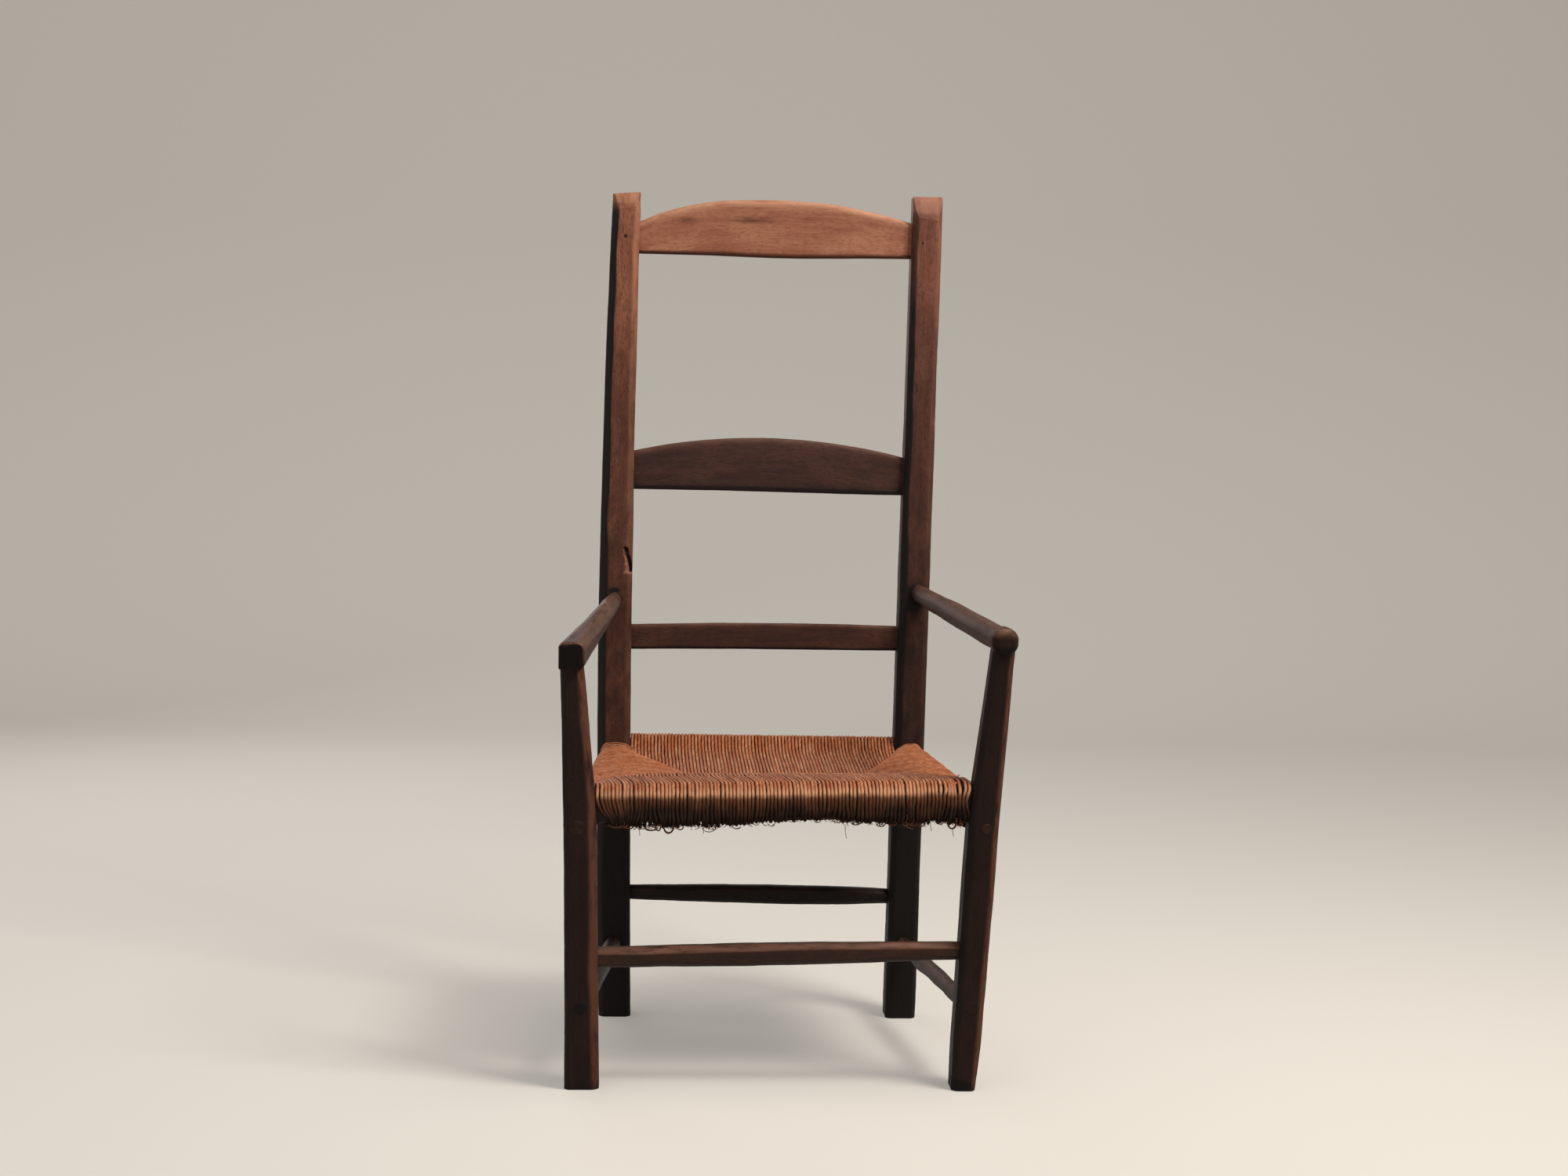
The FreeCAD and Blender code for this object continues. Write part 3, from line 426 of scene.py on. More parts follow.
# how dark each post is along its height: painted shade for light falling from above and for the
# seat's shadow, with some dirt low down
postGrimeAndShade = [(0, 0.9), (330, 0.82), (372, 0.66), (520, 0.64), (660, 0.55), (850, 0.46),
    (960, 0.31), (1060, 0.08), (1120, 0)]
squareStick = {"axes": ((1, 0, 0), (0, 1, 0)), "flat": 0.85, "shaving": (0.8, 0.35),
    "uneven": 0.22}


def postShaper(side, look):
    centreX, centreY, _, _, deep = look["stations"][-1][1:]

    def reshape(points, wornAndHighlight, grimeAndShade):
        over = points[..., 1] - (centreY - deep / 2)
        limit = look["top"] + (points[..., 0] - centreX) * look["topTilt"]
        bevel = limit - look["bevelDown"] + over * look["bevelDown"] / look["bevelBack"]
        for edge, reach in ((bevel, 1.2), (limit, 0.3)):
            gap = np.clip(points[..., 2] - edge + reach, 0, None)
            points[..., 2] -= np.where(gap < 2 * reach, gap ** 2 / (4 * reach), gap - reach)
        height = points[..., 2]
        # the bevel and the end above it are painted paler: wear, and a painted highlight where the
        # bevel faces up to the light
        wornAndHighlight = np.maximum(wornAndHighlight, 0.75 * ease(height, look["top"] - look["bevelDown"] - 3,
            look["top"] - look["bevelDown"] + 5))
        # lightest at the top and darker downwards, darkest below the seat: painted shade with some
        # dirt
        grimeAndShade *= 1 - 0.8 * ease(height, 1085, 1108)
        grimeAndShade += np.interp(height, *zip(*postGrimeAndShade)) * look["patina"]
        if side == "left":   # a flake split off beside the slat, ending on a sharp ledge
            share = np.clip((height - 602) / 34, 0, 1)
            inside = ease(height, 601.4, 602.6) * (1 - ease(height, 632, 637))
            inside = inside * (points[..., 1] < 147 + height * postRake)
            away = (points[..., 0] + 189.6 + 7.5 * share ** 1.5 -
                0.9 * softNoise(points, (9, 9, 5), 11))
            crack = inside * np.exp(-(away / 1.8) ** 2)
            scar = inside * ease(away, 5 * share - 9, 5 * share - 6) * (1 - ease(away, -1, 1))
            points[..., 1] += 2.4 * scar + 5.5 * crack
            ledge = (points[..., 0] > -198) * spot(height[..., None], (600.6,), (1.6,))
            wornAndHighlight = np.maximum(wornAndHighlight, 0.9 * np.maximum(scar, ledge)) * (1 - crack)
            # the crack is painted dark, the shade inside it; the scar and the ledge are left paler
            grimeAndShade += 1.3 * crack - 0.45 * scar - 0.3 * ledge
            points = press(points, (-184, 217, 1106), (4, 14, 7), (-3.2, 0, -1.5))
            # painted shadow in the gap above the arm's end
            grimeAndShade += 0.8 * spot(points, (-211, 172, 577.5), (6, 9, 1.8))
        else:
            # painted shadow on the post below and beside the arm
            grimeAndShade += 0.4 * spot(points, (196, 172, 573), (14, 9, 16))
        for z in (516, 740, 1076):   # dirt in the corner where a slat enters
            inner = -184 if side == "left" else 177
            grimeAndShade += 0.3 * spot(points, (inner, 176 + z * postRake, z), (4, 14, 40))
        return points, wornAndHighlight, grimeAndShade
    return reshape


for side, look in postLooks.items():
    fine = np.concatenate([np.arange(596, 642, 1.1), np.arange(1088, 1118, 1.2)])
    makeStick(f"backPost_{side}", "post" + side.capitalize(), {
        **squareStick, **look, "rounds": (2, 1.5), "reshape": postShaper(side, look),
        "extraShares": fine / look["stations"][-1][3]}, replaced=f"back_post_{side}")
print("back posts made")


# front legs: square, chamfered, thinner above the seat, let into the arms

legLooks = {
    "left": {"top": 516, "stations": [(0, -241, 41.5), (55, -242.3, 41), (332, -248.6, 39.5),
        (516, -261.3, 28.6)], "corners": (4.5, 8.5, 6, 5)},
    "right": {"top": 540, "stations": [(0, 223, 28.7), (55, 226.6, 33.8), (332, 240.5, 37),
        (540, 259.9, 26.7)], "corners": (7, 5, 5.5, 6)},
}
legDepths = [(0, 41), (332, 41), (516, 34), (540, 34)]


def legShaper(side):
    def reshape(points, wornAndHighlight, grimeAndShade):
        height = points[..., 2]
        if side == "right":   # the foot is nearly black below a slanting line
            grimeAndShade += 0.6 * (1 - ease(height + (points[..., 0] - 222) * 0.25, 10, 17))
            points = press(points, (246, -230, 168), (3, 6, 3.5), (-1.6, 0, 0))
        else:
            grimeAndShade += 0.35 * (1 - ease(height, 3, 16))
        inner = -226 if side == "left" else 220
        for z in (100, 164, 335):   # dirt where stretchers and rail enter
            grimeAndShade += 0.3 * spot(points, (inner, -220, z), (8, 30, 20))
        return points, wornAndHighlight, grimeAndShade
    return reshape


for side, look in legLooks.items():
    makeStick(f"frontLeg_{side}", "leg", {
        "stations": [(z / look["top"], x, -220, z, width, np.interp(z, *zip(*legDepths)))
            for z, x, width in look["stations"]],
        **squareStick, "corners": look["corners"], "rounds": (1.5, 0), "grimeAndShade": 0.14,
        # the left front chamfer is darkened and the right one paled: painted shade and highlight
        # for light from the right, besides wear
        "edgeWear": (0, 1, 0.5, 0.3), "edgeGrime": (0.3, -0.2, 0, 0.1),
        "reshape": legShaper(side)}, replaced=f"front_leg_{side}")
print("front legs made")


# slats: boards bowed to the back, their arched tops rounded over

slatBase = {"left": -206, "right": 196, "rake": 0.05786, "footY": 162, "bow": 8}
slatSpan = slatBase["right"] - slatBase["left"]
slatMiddle = (slatBase["right"] + slatBase["left"]) / 2
slatLooks = {
    "top": {"low": 1034, "tilt": 0.25, "corners": (1.8, 6.5, 3, 2),
        "top": [(-206, 35), (-191, 41), (-178.5, 46.5), (-166, 52.5), (-153.5, 57.7),
            (-127.5, 65.6), (-102.5, 71.4), (-76.5, 75.3), (-51, 76.9), (-25.5, 77.6),
            (0, 78), (26.5, 77.5), (51.5, 75.9), (77.5, 73.4), (103.5, 69), (129.5, 64),
            (155.5, 57.5), (181.5, 50.6), (196, 46.5)],
        "sag": [(-206, 0.3), (-90, 0.4), (0, -1.4), (45, -1.2), (120, 0.6), (196, 0.6)]},
    "middle": {"low": 713, "tilt": -0.2, "corners": (1.8, 3.6, 3, 2), "ends": (48, 74, 47),
        "sag": [(-206, 0), (-60, 0.8), (60, 0.2), (196, 0)]},
    "lower": {"low": 498, "tilt": 0.45, "corners": (1.8, 2.6, 3, 2), "ends": (33, 36, 33),
        "sag": [(-206, 0), (-40, 0.7), (196, 0)]},
}


def arcHeights(look):
    # height of the top edge above the lower one along the slat
    if "top" in look:
        return look["top"]
    left, crown, right = look["ends"]
    flatLine = (left + right) / 2
    return [(slatMiddle + t * slatSpan / 2, flatLine + t * (right - left) / 2 +
        (crown - flatLine) * (1 - t * t)) for t in np.linspace(-1, 1, 21)]


def slatSpec(look):
    lean, tilt = math.atan(slatBase["rake"]), math.radians(look["tilt"])
    upward = np.array([-math.sin(tilt), math.cos(tilt) * math.sin(lean),
        math.cos(tilt) * math.cos(lean)])
    lengthwise = np.array([math.cos(tilt), math.sin(tilt) * math.sin(lean),
        math.sin(tilt) * math.cos(lean)])
    backward = np.array([0, math.cos(lean), -math.sin(lean)])
    origin = np.array([0, slatBase["footY"] + slatBase["rake"] * look["low"], look["low"]])

    def profile(share, centres, width, depth):
        x = slatBase["left"] + share * slatSpan
        kernel = np.ones(9) / 9
        top, low = [np.convolve(np.pad(np.interp(x, *zip(*line)), 4, "edge"), kernel, "valid")
            for line in (arcHeights(look), look["sag"])]
        bow = slatBase["bow"] * (1 - ((x - slatMiddle) / (slatSpan / 2)) ** 2)
        centres = (origin + x[:, None] * lengthwise + ((top + low) / 2)[:, None] * upward +
            bow[:, None] * backward)
        return centres, top - low, depth

    def reshape(points, wornAndHighlight, grimeAndShade):
        toPost = np.minimum(np.abs(points[..., 0] + 186), np.abs(points[..., 0] - 179))
        grimeAndShade += 0.28 * np.exp(-(toPost / 6) ** 2)
        height = points[..., 2] - look["low"]
        if look["low"] == 713:   # darker along the lower edge
            grimeAndShade += 0.42 * (1 - ease(height, 4, 24))
        if look["low"] == 1034:
            grimeAndShade += 0.62 * spot(points, (-30, 226, 1083), (38, 40, 6))
            grimeAndShade += 0.55 * spot(points, (-118, 226, 1080), (16, 40, 6))
            grimeAndShade += 0.9 * spot(points, (-180, 220, 1083), (3, 40, 2.6))
            points = press(points, (-178, 220, 1084), (3, 40, 2.5), (0, 2.5, 0))
        return points, wornAndHighlight, grimeAndShade

    return {"stations": [(share, *(origin + slatBase[end] * lengthwise), 40, 11.6)
            for share, end in enumerate(("left", "right"))],
        "axes": (upward, backward), "corners": look["corners"], "flat": 0.4, "step": 2.4,
        "profile": profile, "reshape": reshape, "shaving": (0.5, 0.28),
        # the lower front edge is painted nearly black, the shade under it; the top edges are
        # paled, wear with a painted highlight
        "edgeWear": (0, 0.6, 0.8, 0.2), "edgeGrime": (0.95, 0, 0, 0.4)}


for name, look in slatLooks.items():
    makeStick(f"{name}Slat", f"{name}Slat", slatSpec(look), replaced=f"{name}_slat")
print("slats made")


# arms: round at the post, fuller to the front; a squared left end and a knob at the right

armLooks = {
    "left": {"back": (-211.5, 174, 562), "front": (-262, -245, 525.5), "round": 5,
        "rows": [(0, 22, 26, (10.5,) * 4), (0.5, 28, 31, (13,) * 4), (1, 33, 35, (2.5, 8, 8, 7))]},
    "right": {"back": (203.5, 174, 579), "front": (261, -245, 550), "round": 9,
        "rows": [(0, 22, 26, (10.5,) * 4), (0.5, 28, 31, (13,) * 4),
            (0.925, 29, 31, (13.5,) * 4), (0.95, 32.5, 34.5, (14,) * 4),
            (1, 32.5, 34.5, (12.5,) * 4)]},
}


def armShaper(side, back, front):
    def reshape(points, wornAndHighlight, grimeAndShade):
        beyond = (points - front) @ unit(front - back)
        centreZ = np.interp(points[..., 1], [front[1], back[1]], [front[2], back[2]])
        # painted shade under the arm and by the post, over the joint's grime
        grimeAndShade += 0.35 * ease(points[..., 1], 118, 165)
        grimeAndShade += 0.4 * ease(centreZ - points[..., 2], 0, 13)
        if side == "left":   # the end grain is painted nearly black, dark end grain with painted shade on a face turned from the light, inside its rubbed rim
            ends = ease(beyond, -1.7, -0.5)
            grimeAndShade += 0.95 * ends
            wornAndHighlight *= (1 - ends) * ease(points[..., 2], 527, 538)
            # a paler spot on its top: wear, and a painted glint
            wornAndHighlight += 0.8 * spot(points, (-226, 70, 566), (7, 40, 7))
            points = press(points, (-268, -246, 541), (5, 4, 3), (0, 1.5, -1.5))
        else:
            points = press(points, (250, -221, 566), (9, 2.2, 5), (0, 0, -1.4))
            # the groove between the arm and its knob is painted dark, the shade in it
            grimeAndShade += 0.45 * spot(points, (249, -221, 565), (10, 2.2, 7))
            # the knob's front below its cap is darkened and only the upper part keeps pale wear:
            # painted shade and light from above
            grimeAndShade += 0.55 * ease(-points[..., 1], 232, 244) * (1 - ease(points[..., 2], 552, 563))
            wornAndHighlight *= ease(points[..., 2], 552, 566)
        return points, wornAndHighlight, grimeAndShade
    return reshape


for side, look in armLooks.items():
    back, front = np.array(look["back"], float), np.array(look["front"], float)
    back = back - unit(front - back) * 12   # into its mortise
    makeStick(f"armRest_{side}", "arm", {
        "stations": [(share, *(back + (front - back) * share), wide, high)
            for share, wide, high, _ in look["rows"]],
        "corners": [row[3] for row in look["rows"]], "flat": 0.3, "rounds": (0, look["round"]),
        "step": 2.2, "shaving": (0.7, 0.35), "uneven": 0.12, "edgeWear": (0.1, 0.1, 0.35, 0.3),
        "endWear": 0.7, "reshape": armShaper(side, back, front)}, replaced=f"arm_{side}")
print("arms made")


# stretchers and seat rails

# the back and side stretchers and the seat rails are much darker than the front stretcher: painted
# shade under the seat, besides dirt
crossLooks = {   # ends, height and depth at the ends and in the middle, corner, grime and painted shade
    "stretcher_front": ((-232, -220, 158.3), (222, -220, 170.2), (22, 19), (25.5, 23), 6, 0.12),
    "stretcher_back": ((178, 171.6, 163), (-190, 171.6, 166), (20, 18), (24.7, 21), 6, 0.72),
    "stretcher_left": ((-203.6, 154, 99), (-242, -206, 99), (19, 19), (22, 22), 7, 0.45),
    "stretcher_right": ((228.6, -206, 102), (189.6, 154, 102), (19, 19), (22, 22), 7, 0.4),
    "seat_rail_front": ((-238, -220, 343.8), (232, -220, 354.2), (42, 20), (42, 20), 9, 0.8),
    "seat_rail_right": ((238.7, -206, 334.4), (193.3, 167, 352.3), (36, 20), (36, 20), 9, 0.8),
    "seat_rail_back": ((181, 182.6, 356.5), (-192, 182.6, 356.5), (38, 17), (38, 17), 8, 0.8),
    "seat_rail_left": ((-206.7, 167, 346.4), (-248, -206, 321.7), (36, 20), (36, 20), 9, 0.8),
}


def frontStretcherMarks(points, wornAndHighlight, grimeAndShade):
    wornAndHighlight += 0.9 * spot(points, (142, -230, 178), (24, 9, 5))
    wornAndHighlight += 0.5 * spot(points, (-150, -230, 170), (30, 9, 5))
    return points, wornAndHighlight, grimeAndShade


for node, (start, end, thin, thick, corner, grimeAndShade) in crossLooks.items():
    start, end = np.array(start, float), np.array(end, float)
    stations = []
    for share in np.linspace(0, 1, 9):
        full = math.sin(math.pi * share) ** 0.7
        high, deep = [a + (b - a) * full for a, b in zip(thin, thick)]
        stations.append((share, *(start + (end - start) * share), deep, high))
    kind, _, place = node.rpartition("_")
    spec = {"stations": stations, "corners": [corner] * 4, "flat": 0.7, "shaving": (0.9, 0.4),
        "uneven": 0.35, "grimeAndShade": grimeAndShade, "edgeWear": (0.1, 0.1, 0.7, 0.9),
        "edgeGrime": (0.3, 0.3, 0, 0)}
    if place == "front":
        spec["reshape"] = frontStretcherMarks
    makeStick(("stretcherBar_" if kind == "stretcher" else "seatRail_") + place,
        "stretcher", spec, replaced=node)
print("rails and stretchers made")


# pegs and through tenons, each inside a dark ring painted as the shade of its gap, dark discs
# painted as the shade in the arms' mortises, and two splinters

endLooks = {   # centre of the face, radius, how far back it goes, wood, grime and painted shade, width of the dark ring painted as the gap's shade
    "peg_left": ((-203.6, 203.0, 1055.5), 2.3, 14, "arm", 0.4, 0.6),
    "peg_right": ((200.4, 203.0, 1056), 1.5, 14, "leg", 0.9, 0.5),
    "tenon_railLeft": ((-251.5, -240.9, 319), 9.6, 12, "leg", 0.16, 0.8),
    "tenon_railRight": ((243, -240.9, 323), 6.6, 12, "leg", 0.25, 0.35),
    "tenon_stretcherRight": ((230.8, -240.9, 102.6), 8.2, 12, "leg", 0.5, 0.9),
    "tenon_stretcherLeft": ((-245, -240.7, 99), 8, 12, "leg", 0.9, 0.25),
    "mortise_armLeft": ((-211.8, 171.2, 563.8), 11.6, 12, "leg", 1.2, 0),
    "mortise_armRight": ((203.2, 171.4, 577.6), 13.6, 12, "leg", 1.2, 0),
}
for name, ((x, y, z), radius, deep, wood, grimeAndShade, gap) in endLooks.items():
    # the ring around each end is a dark sheet set where the gap between the parts is in shade
    for part, size, front, dirtAndShade in (("", radius, -0.5, grimeAndShade), ("_gap", radius + gap, 0, 1.3)):
        if part and not gap:
            continue
        makeStick(name + part, wood, {
            "stations": [(share, x, y + run, z, size * 2, size * 2)
                for share, run in enumerate((deep, front))],
            "axes": ((1, 0, 0), (0, 0, 1)), "corners": [size - 0.05] * 4,
            "flat": 0, "rounds": (0, 0.5), "step": 2, "shaving": (0.1, 0.1), "uneven": 0,
            "grimeAndShade": dirtAndShade, "edgeWear": (0, 0, 0, 0), "endWear": 0.2},
            replaced="slat_pegs" if name + part == "peg_left" else None)

splinters = {   # from, to, thickness
    "splinter_arm": ((247.5, -222, 567), (252.5, -226, 560.5), 1.7),
    "splinter_leg": ((244.2, -226, 104.5), (247.6, -228, 104.9), 1.2),
}
for name, (start, end, thick) in splinters.items():
    makeStick(name, "arm" if "arm" in name else "leg", {
        "stations": [(0, *start, thick, thick), (1, *end, thick * 0.5, thick * 0.5)],
        "upward": (0, 1, 0), "corners": [0.3] * 4,
        "rounds": (0.2, 0.2), "step": 1, "shaving": (0.05, 0.05), "endWear": 1})
print("pegs, tenons and splinters made")


# rush seat: every turn of cord from its seam, over its rail and back under it

seatLook = {
    "pitch": 4.56, "radius": 2.3, "sides": 8, "rollDepth": 12.3, "middleTop": 350,
    "middleBottom": 330, "frontCorners": (-230, 224, -206), "backCorners": (-185.5, 174, 161),
    "bridge": (-110.5, 112.5, 12), "frontHigh": 23.3, "sideHigh": 20.3, "railGap": 2.3,
    "frontY": -220, "backRail": (182.6, 356.5), "panelDeep": (232, 170.6),
}
sagLine = [(-230, 0), (-191, 1), (-172, 2.5), (-155, 2), (-142, 3), (-116, 1), (-95, 2.5),
    (-59, 1.5), (-20, -2), (30, -4.5), (58, -5.5), (70, -1), (100, -0.5), (140, 2),
    (160, 2.5), (179, -1), (200, 2), (222, 0)]
frontY, (backY, backZ) = seatLook["frontY"], seatLook["backRail"]
frontDeep, backDeep = seatLook["panelDeep"]
random = np.random.default_rng(7219)


def seamReach(x, isFront):
    # how far back the front or back panel reaches at each x
    left, right, bridgeY = seatLook["bridge"]
    cornerLeft, cornerRight, cornerY = seatLook["frontCorners" if isFront else "backCorners"]
    return np.interp(x, [cornerLeft, left, right, cornerRight],
        [cornerY, bridgeY, bridgeY, cornerY])


def frontRailAt(x):
    return 343.9 + (x + 230.4) / 455.2 * 10


def frontTop(x, y):
    # the front panel swells behind its roll, then dips to the middle
    rollTop = frontRailAt(x) + 25.6
    share = np.clip((y - frontY) / frontDeep, 0, 1)
    return (rollTop + 22 * share * (1 - share) ** 1.2 -
        (rollTop - seatLook["middleTop"]) * share ** 1.3)


def backTop(x, y):
    # the back panel drops steeply off its rail, then runs nearly flat
    share = np.clip((backY - y) / backDeep, 0, 1)
    return seatLook["middleTop"] + 18 * np.exp(-share / 0.07) + 14 * (1 - share) ** 0.8


def roundRail(halfHigh, corner, crest=0):
    # a turn's way over, down and under its rail: (into the seat, above the rail)
    wide, run = seatLook["rollDepth"], np.linspace(0, math.pi / 2, 8)
    flatRun, upright = wide - corner, halfHigh - corner
    start, tall = crest or -flatRun, corner + crest / 2
    over = [(start - (wide + start) * math.sin(a), halfHigh - tall + tall * math.cos(a))
        for a in run]
    down = [(-wide, v) for v in np.linspace(halfHigh - tall, -upright, 7)[1:-1]]
    under = [(-flatRun - corner * math.cos(a), -upright - corner * math.sin(a)) for a in run]
    return over + down + under


def makeCords(name, cords, sideways, look, replaced=None, step=3.1):
    sides = look.get("sides", seatLook["sides"])
    angles = np.arange(sides) * 2 * math.pi / sides
    allPoints, allFaces, allCord, allCreaseShade = [], [], [], []
    offset = 0
    for number, (line, radius) in enumerate(cords):
        run = runLengths(line)
        steps = max(int(run[-1] / step), 4) + 1
        places = np.linspace(0, run[-1], steps)
        line = np.stack([np.interp(places, run, line[:, k]) for k in range(3)], -1)
        along = np.stack([places, places * 0 + number * 9.7, places * 0], -1)
        wander, lift, swell = [softNoise(along + shift, bump, 51) for shift, bump in
            ((0, 24), (300, 30), (700, 16))]
        tangent = unit(np.gradient(line, axis=0))
        side = unit(sideways[None] - (tangent @ sideways)[:, None] * tangent)
        up = np.cross(side, tangent)
        loose = look.get("wander", 0.55)
        line = line + side * (wander * loose)[:, None] + up * (lift * loose * 0.8)[:, None]
        twist = places / 13 * math.pi + random.uniform(0, math.pi)
        around = angles[None, :] + twist[:, None]
        reach = (radius * (1 + 0.08 * swell))[:, None] * (1 + 0.12 * np.cos(2 * around))
        points = (line[:, None] + side[:, None] * (np.cos(angles) * reach)[..., None] +
            up[:, None] * (np.sin(angles) * reach)[..., None])
        index = offset + np.arange(steps * sides).reshape(steps, sides)
        beside = np.roll(index, -1, 1)
        allFaces += np.stack([index[:-1], index[1:], beside[1:], beside[:-1]],
            -1).reshape(-1, 4).tolist()
        allFaces += [index[0].tolist(), index[-1, ::-1].tolist()]
        offset += steps * sides
        allPoints.append(points.reshape(-1, 3))
        allCord.append(np.stack(np.broadcast_arrays(places[:, None] * metre,
            around / (2 * math.pi), number * 1.37), -1).reshape(-1, 3))
        # painted shade in the grooves between neighbouring cords, darkest at the sides of each
        # cord
        power = 3.5 + (look.get("groove", 3.5) - 3.5) * ease(line[:, 1:2], -226, -196)
        allCreaseShade.append(look.get("creaseShade", 1) * np.abs(np.cos(angles)).reshape(1, -1) ** power)
    points = np.concatenate(allPoints)
    grimeAndShade = look["soil"](points) if "soil" in look else np.full(len(points), look["grimeAndShade"])
    # the front roll is painted paler along its upper front: a painted highlight on the crest, with
    # some rubbing
    over = points[:, 2] - frontRailAt(points[:, 0]) - 13.5
    rubbedAndHighlight = ease(-points[:, 1], 214, 226) * np.exp(-(over / 5) ** 2) * look.get("rubbedAndHighlight", 0)
    writePiece(name, points, allFaces, rush, replaced,
        {"cord": np.concatenate(allCord), "grimeAndShade": grimeAndShade, "wornAndHighlight": rubbedAndHighlight,
         "creaseShade": np.concatenate(allCreaseShade).ravel()})


def rollSoil(points):
    # golden over the top of the rolls, brown from just below it, dark underneath: painted shade on
    # faces turned from the light and under the seat, with some dirt
    x, y, z = points[:, 0], points[:, 1], points[:, 2]
    railZ = np.where(y < -195, frontRailAt(x), np.where(x < 0, 346 - (161 - y) / 361 * 24,
        352 - (161 - y) / 361 * 17.3))
    drop = railZ + 13.5 - z + 2.5 * softNoise(points, (9, 30, 30), 77)
    outer = ease(drop, 0, 6) * 0.66 + ease(drop, 4, 24) * 0.34
    under = 0.9 * ease(334 - z, -4, 5)
    dusty = 0.1 * softNoise(points, (34, 34, 34), 78)
    return np.clip(np.where((y < -222) | (y > 185) | (z < railZ - 12), outer, 0) + dusty +
        np.maximum(under - 0.5, 0), 0, 1)


def cordTurn(topRun, rail, bottomRun):
    # one turn of cord: up out of the seam, over its panel and its rail, and back below
    reach, height = topRun[-1]
    dive = [(reach + 2, height - 3.2), (reach + 3, height - 9)]
    return (topRun + dive)[::-1] + rail + bottomRun


gap = seatLook["railGap"]
high = seatLook["frontHigh"]
cords = []
for x in np.arange(-227.6, 222, seatLook["pitch"]):
    lean = -7.5 - 4 * np.clip(-x / 190, 0, 1)
    length = max(seamReach(x + lean * 0.8, True) - frontY, 12)
    rail = frontRailAt(x)
    topRun = [(length * s, frontTop(x, frontY + length * s) - gap - rail)
        for s in np.linspace(0.06, 1, 26)]
    sag = np.interp(x, *zip(*sagLine)) + random.normal(0, 0.9)
    end = seatLook["middleBottom"] - rail
    bottomRun = [(length * s, -high + (end + high) * s ** 1.2 * length / frontDeep)
        for s in np.linspace(0.06, 1, 18)]
    u, v = np.array(cordTurn(topRun, roundRail(high, 11, min(12, length * 0.05)), bottomRun)).T
    onTop = np.arange(len(u)) < len(topRun) + 2
    leaned = np.where(onTop, lean * np.clip(u / 62, 0, 1) ** 1.3, 0)
    low = ease(-v, -6, 22) * (u < 14)          # the lower front has worked loose
    rough = 1.9 + 2.3 * ease(abs(x), 100, 150)
    spots = np.stack([np.full(len(v), x), v, v * 0], -1)
    sway = softNoise(spots, (12, 17, 9), 61) * rough + softNoise(spots, (5, 26, 9), 62)
    out = softNoise(spots, (7, 22, 9), 63) * (0.5 + 0.5 * rough)
    cornerLoose = ease(x, 165, 200) * ease(v, 2, 12) * (u < 40)
    gathered = 11 * ease(-x, 176, 228) * ease(12 - v, 0, 36) * (u < 40)
    sway = sway * (low + 0.9 * cornerLoose) + leaned + gathered + random.normal(0, 0.3)
    out = out * low + 1.5 * cornerLoose * softNoise(spots, (5, 14, 9), 64)
    sunk = np.where(onTop, 0, sag * low)
    line = np.stack([x + sway, frontY + u - np.minimum(out, 2.2) * (u < 0),
        rail + v - sunk + np.maximum(out, 0) * (u >= 0) * onTop], -1)
    cords.append((line, seatLook["radius"] * random.uniform(0.88, 1.08)))
half = len(cords) // 2
rightward = np.array([1.0, 0, 0])
frontCords = {"soil": rollSoil, "rubbedAndHighlight": 1, "groove": 2}
makeCords("rushFront_left", cords[:half], rightward, frontCords, "rush_front")
makeCords("rushFront_right", cords[half:], rightward, frontCords)

cords = []
for x in np.arange(-183.2, 172.5, seatLook["pitch"]):
    length = max(backY - seamReach(x, False), 18)
    topRun = [(length * s, backTop(x, backY - length * s) - gap - backZ)
        for s in np.concatenate([np.linspace(1.5 / length, 30 / length, 8),
            np.linspace(36 / length, 1, 16)]) if s <= 1]
    end = seatLook["middleBottom"] - backZ
    bottomRun = [(length * s, -high + (end + high) * s ** 1.2 * length / 170)
        for s in np.linspace(0.06, 1, 16)]
    path = cordTurn(topRun, roundRail(high, 10), bottomRun)
    cords.append((np.array([(x, backY - u, backZ + v) for u, v in path]),
        seatLook["radius"] * random.uniform(0.92, 1.03)))
makeCords("rushBack", cords, -rightward, {"soil": rollSoil, "wander": 0.35, "groove": 2.4},
    "rush_back")

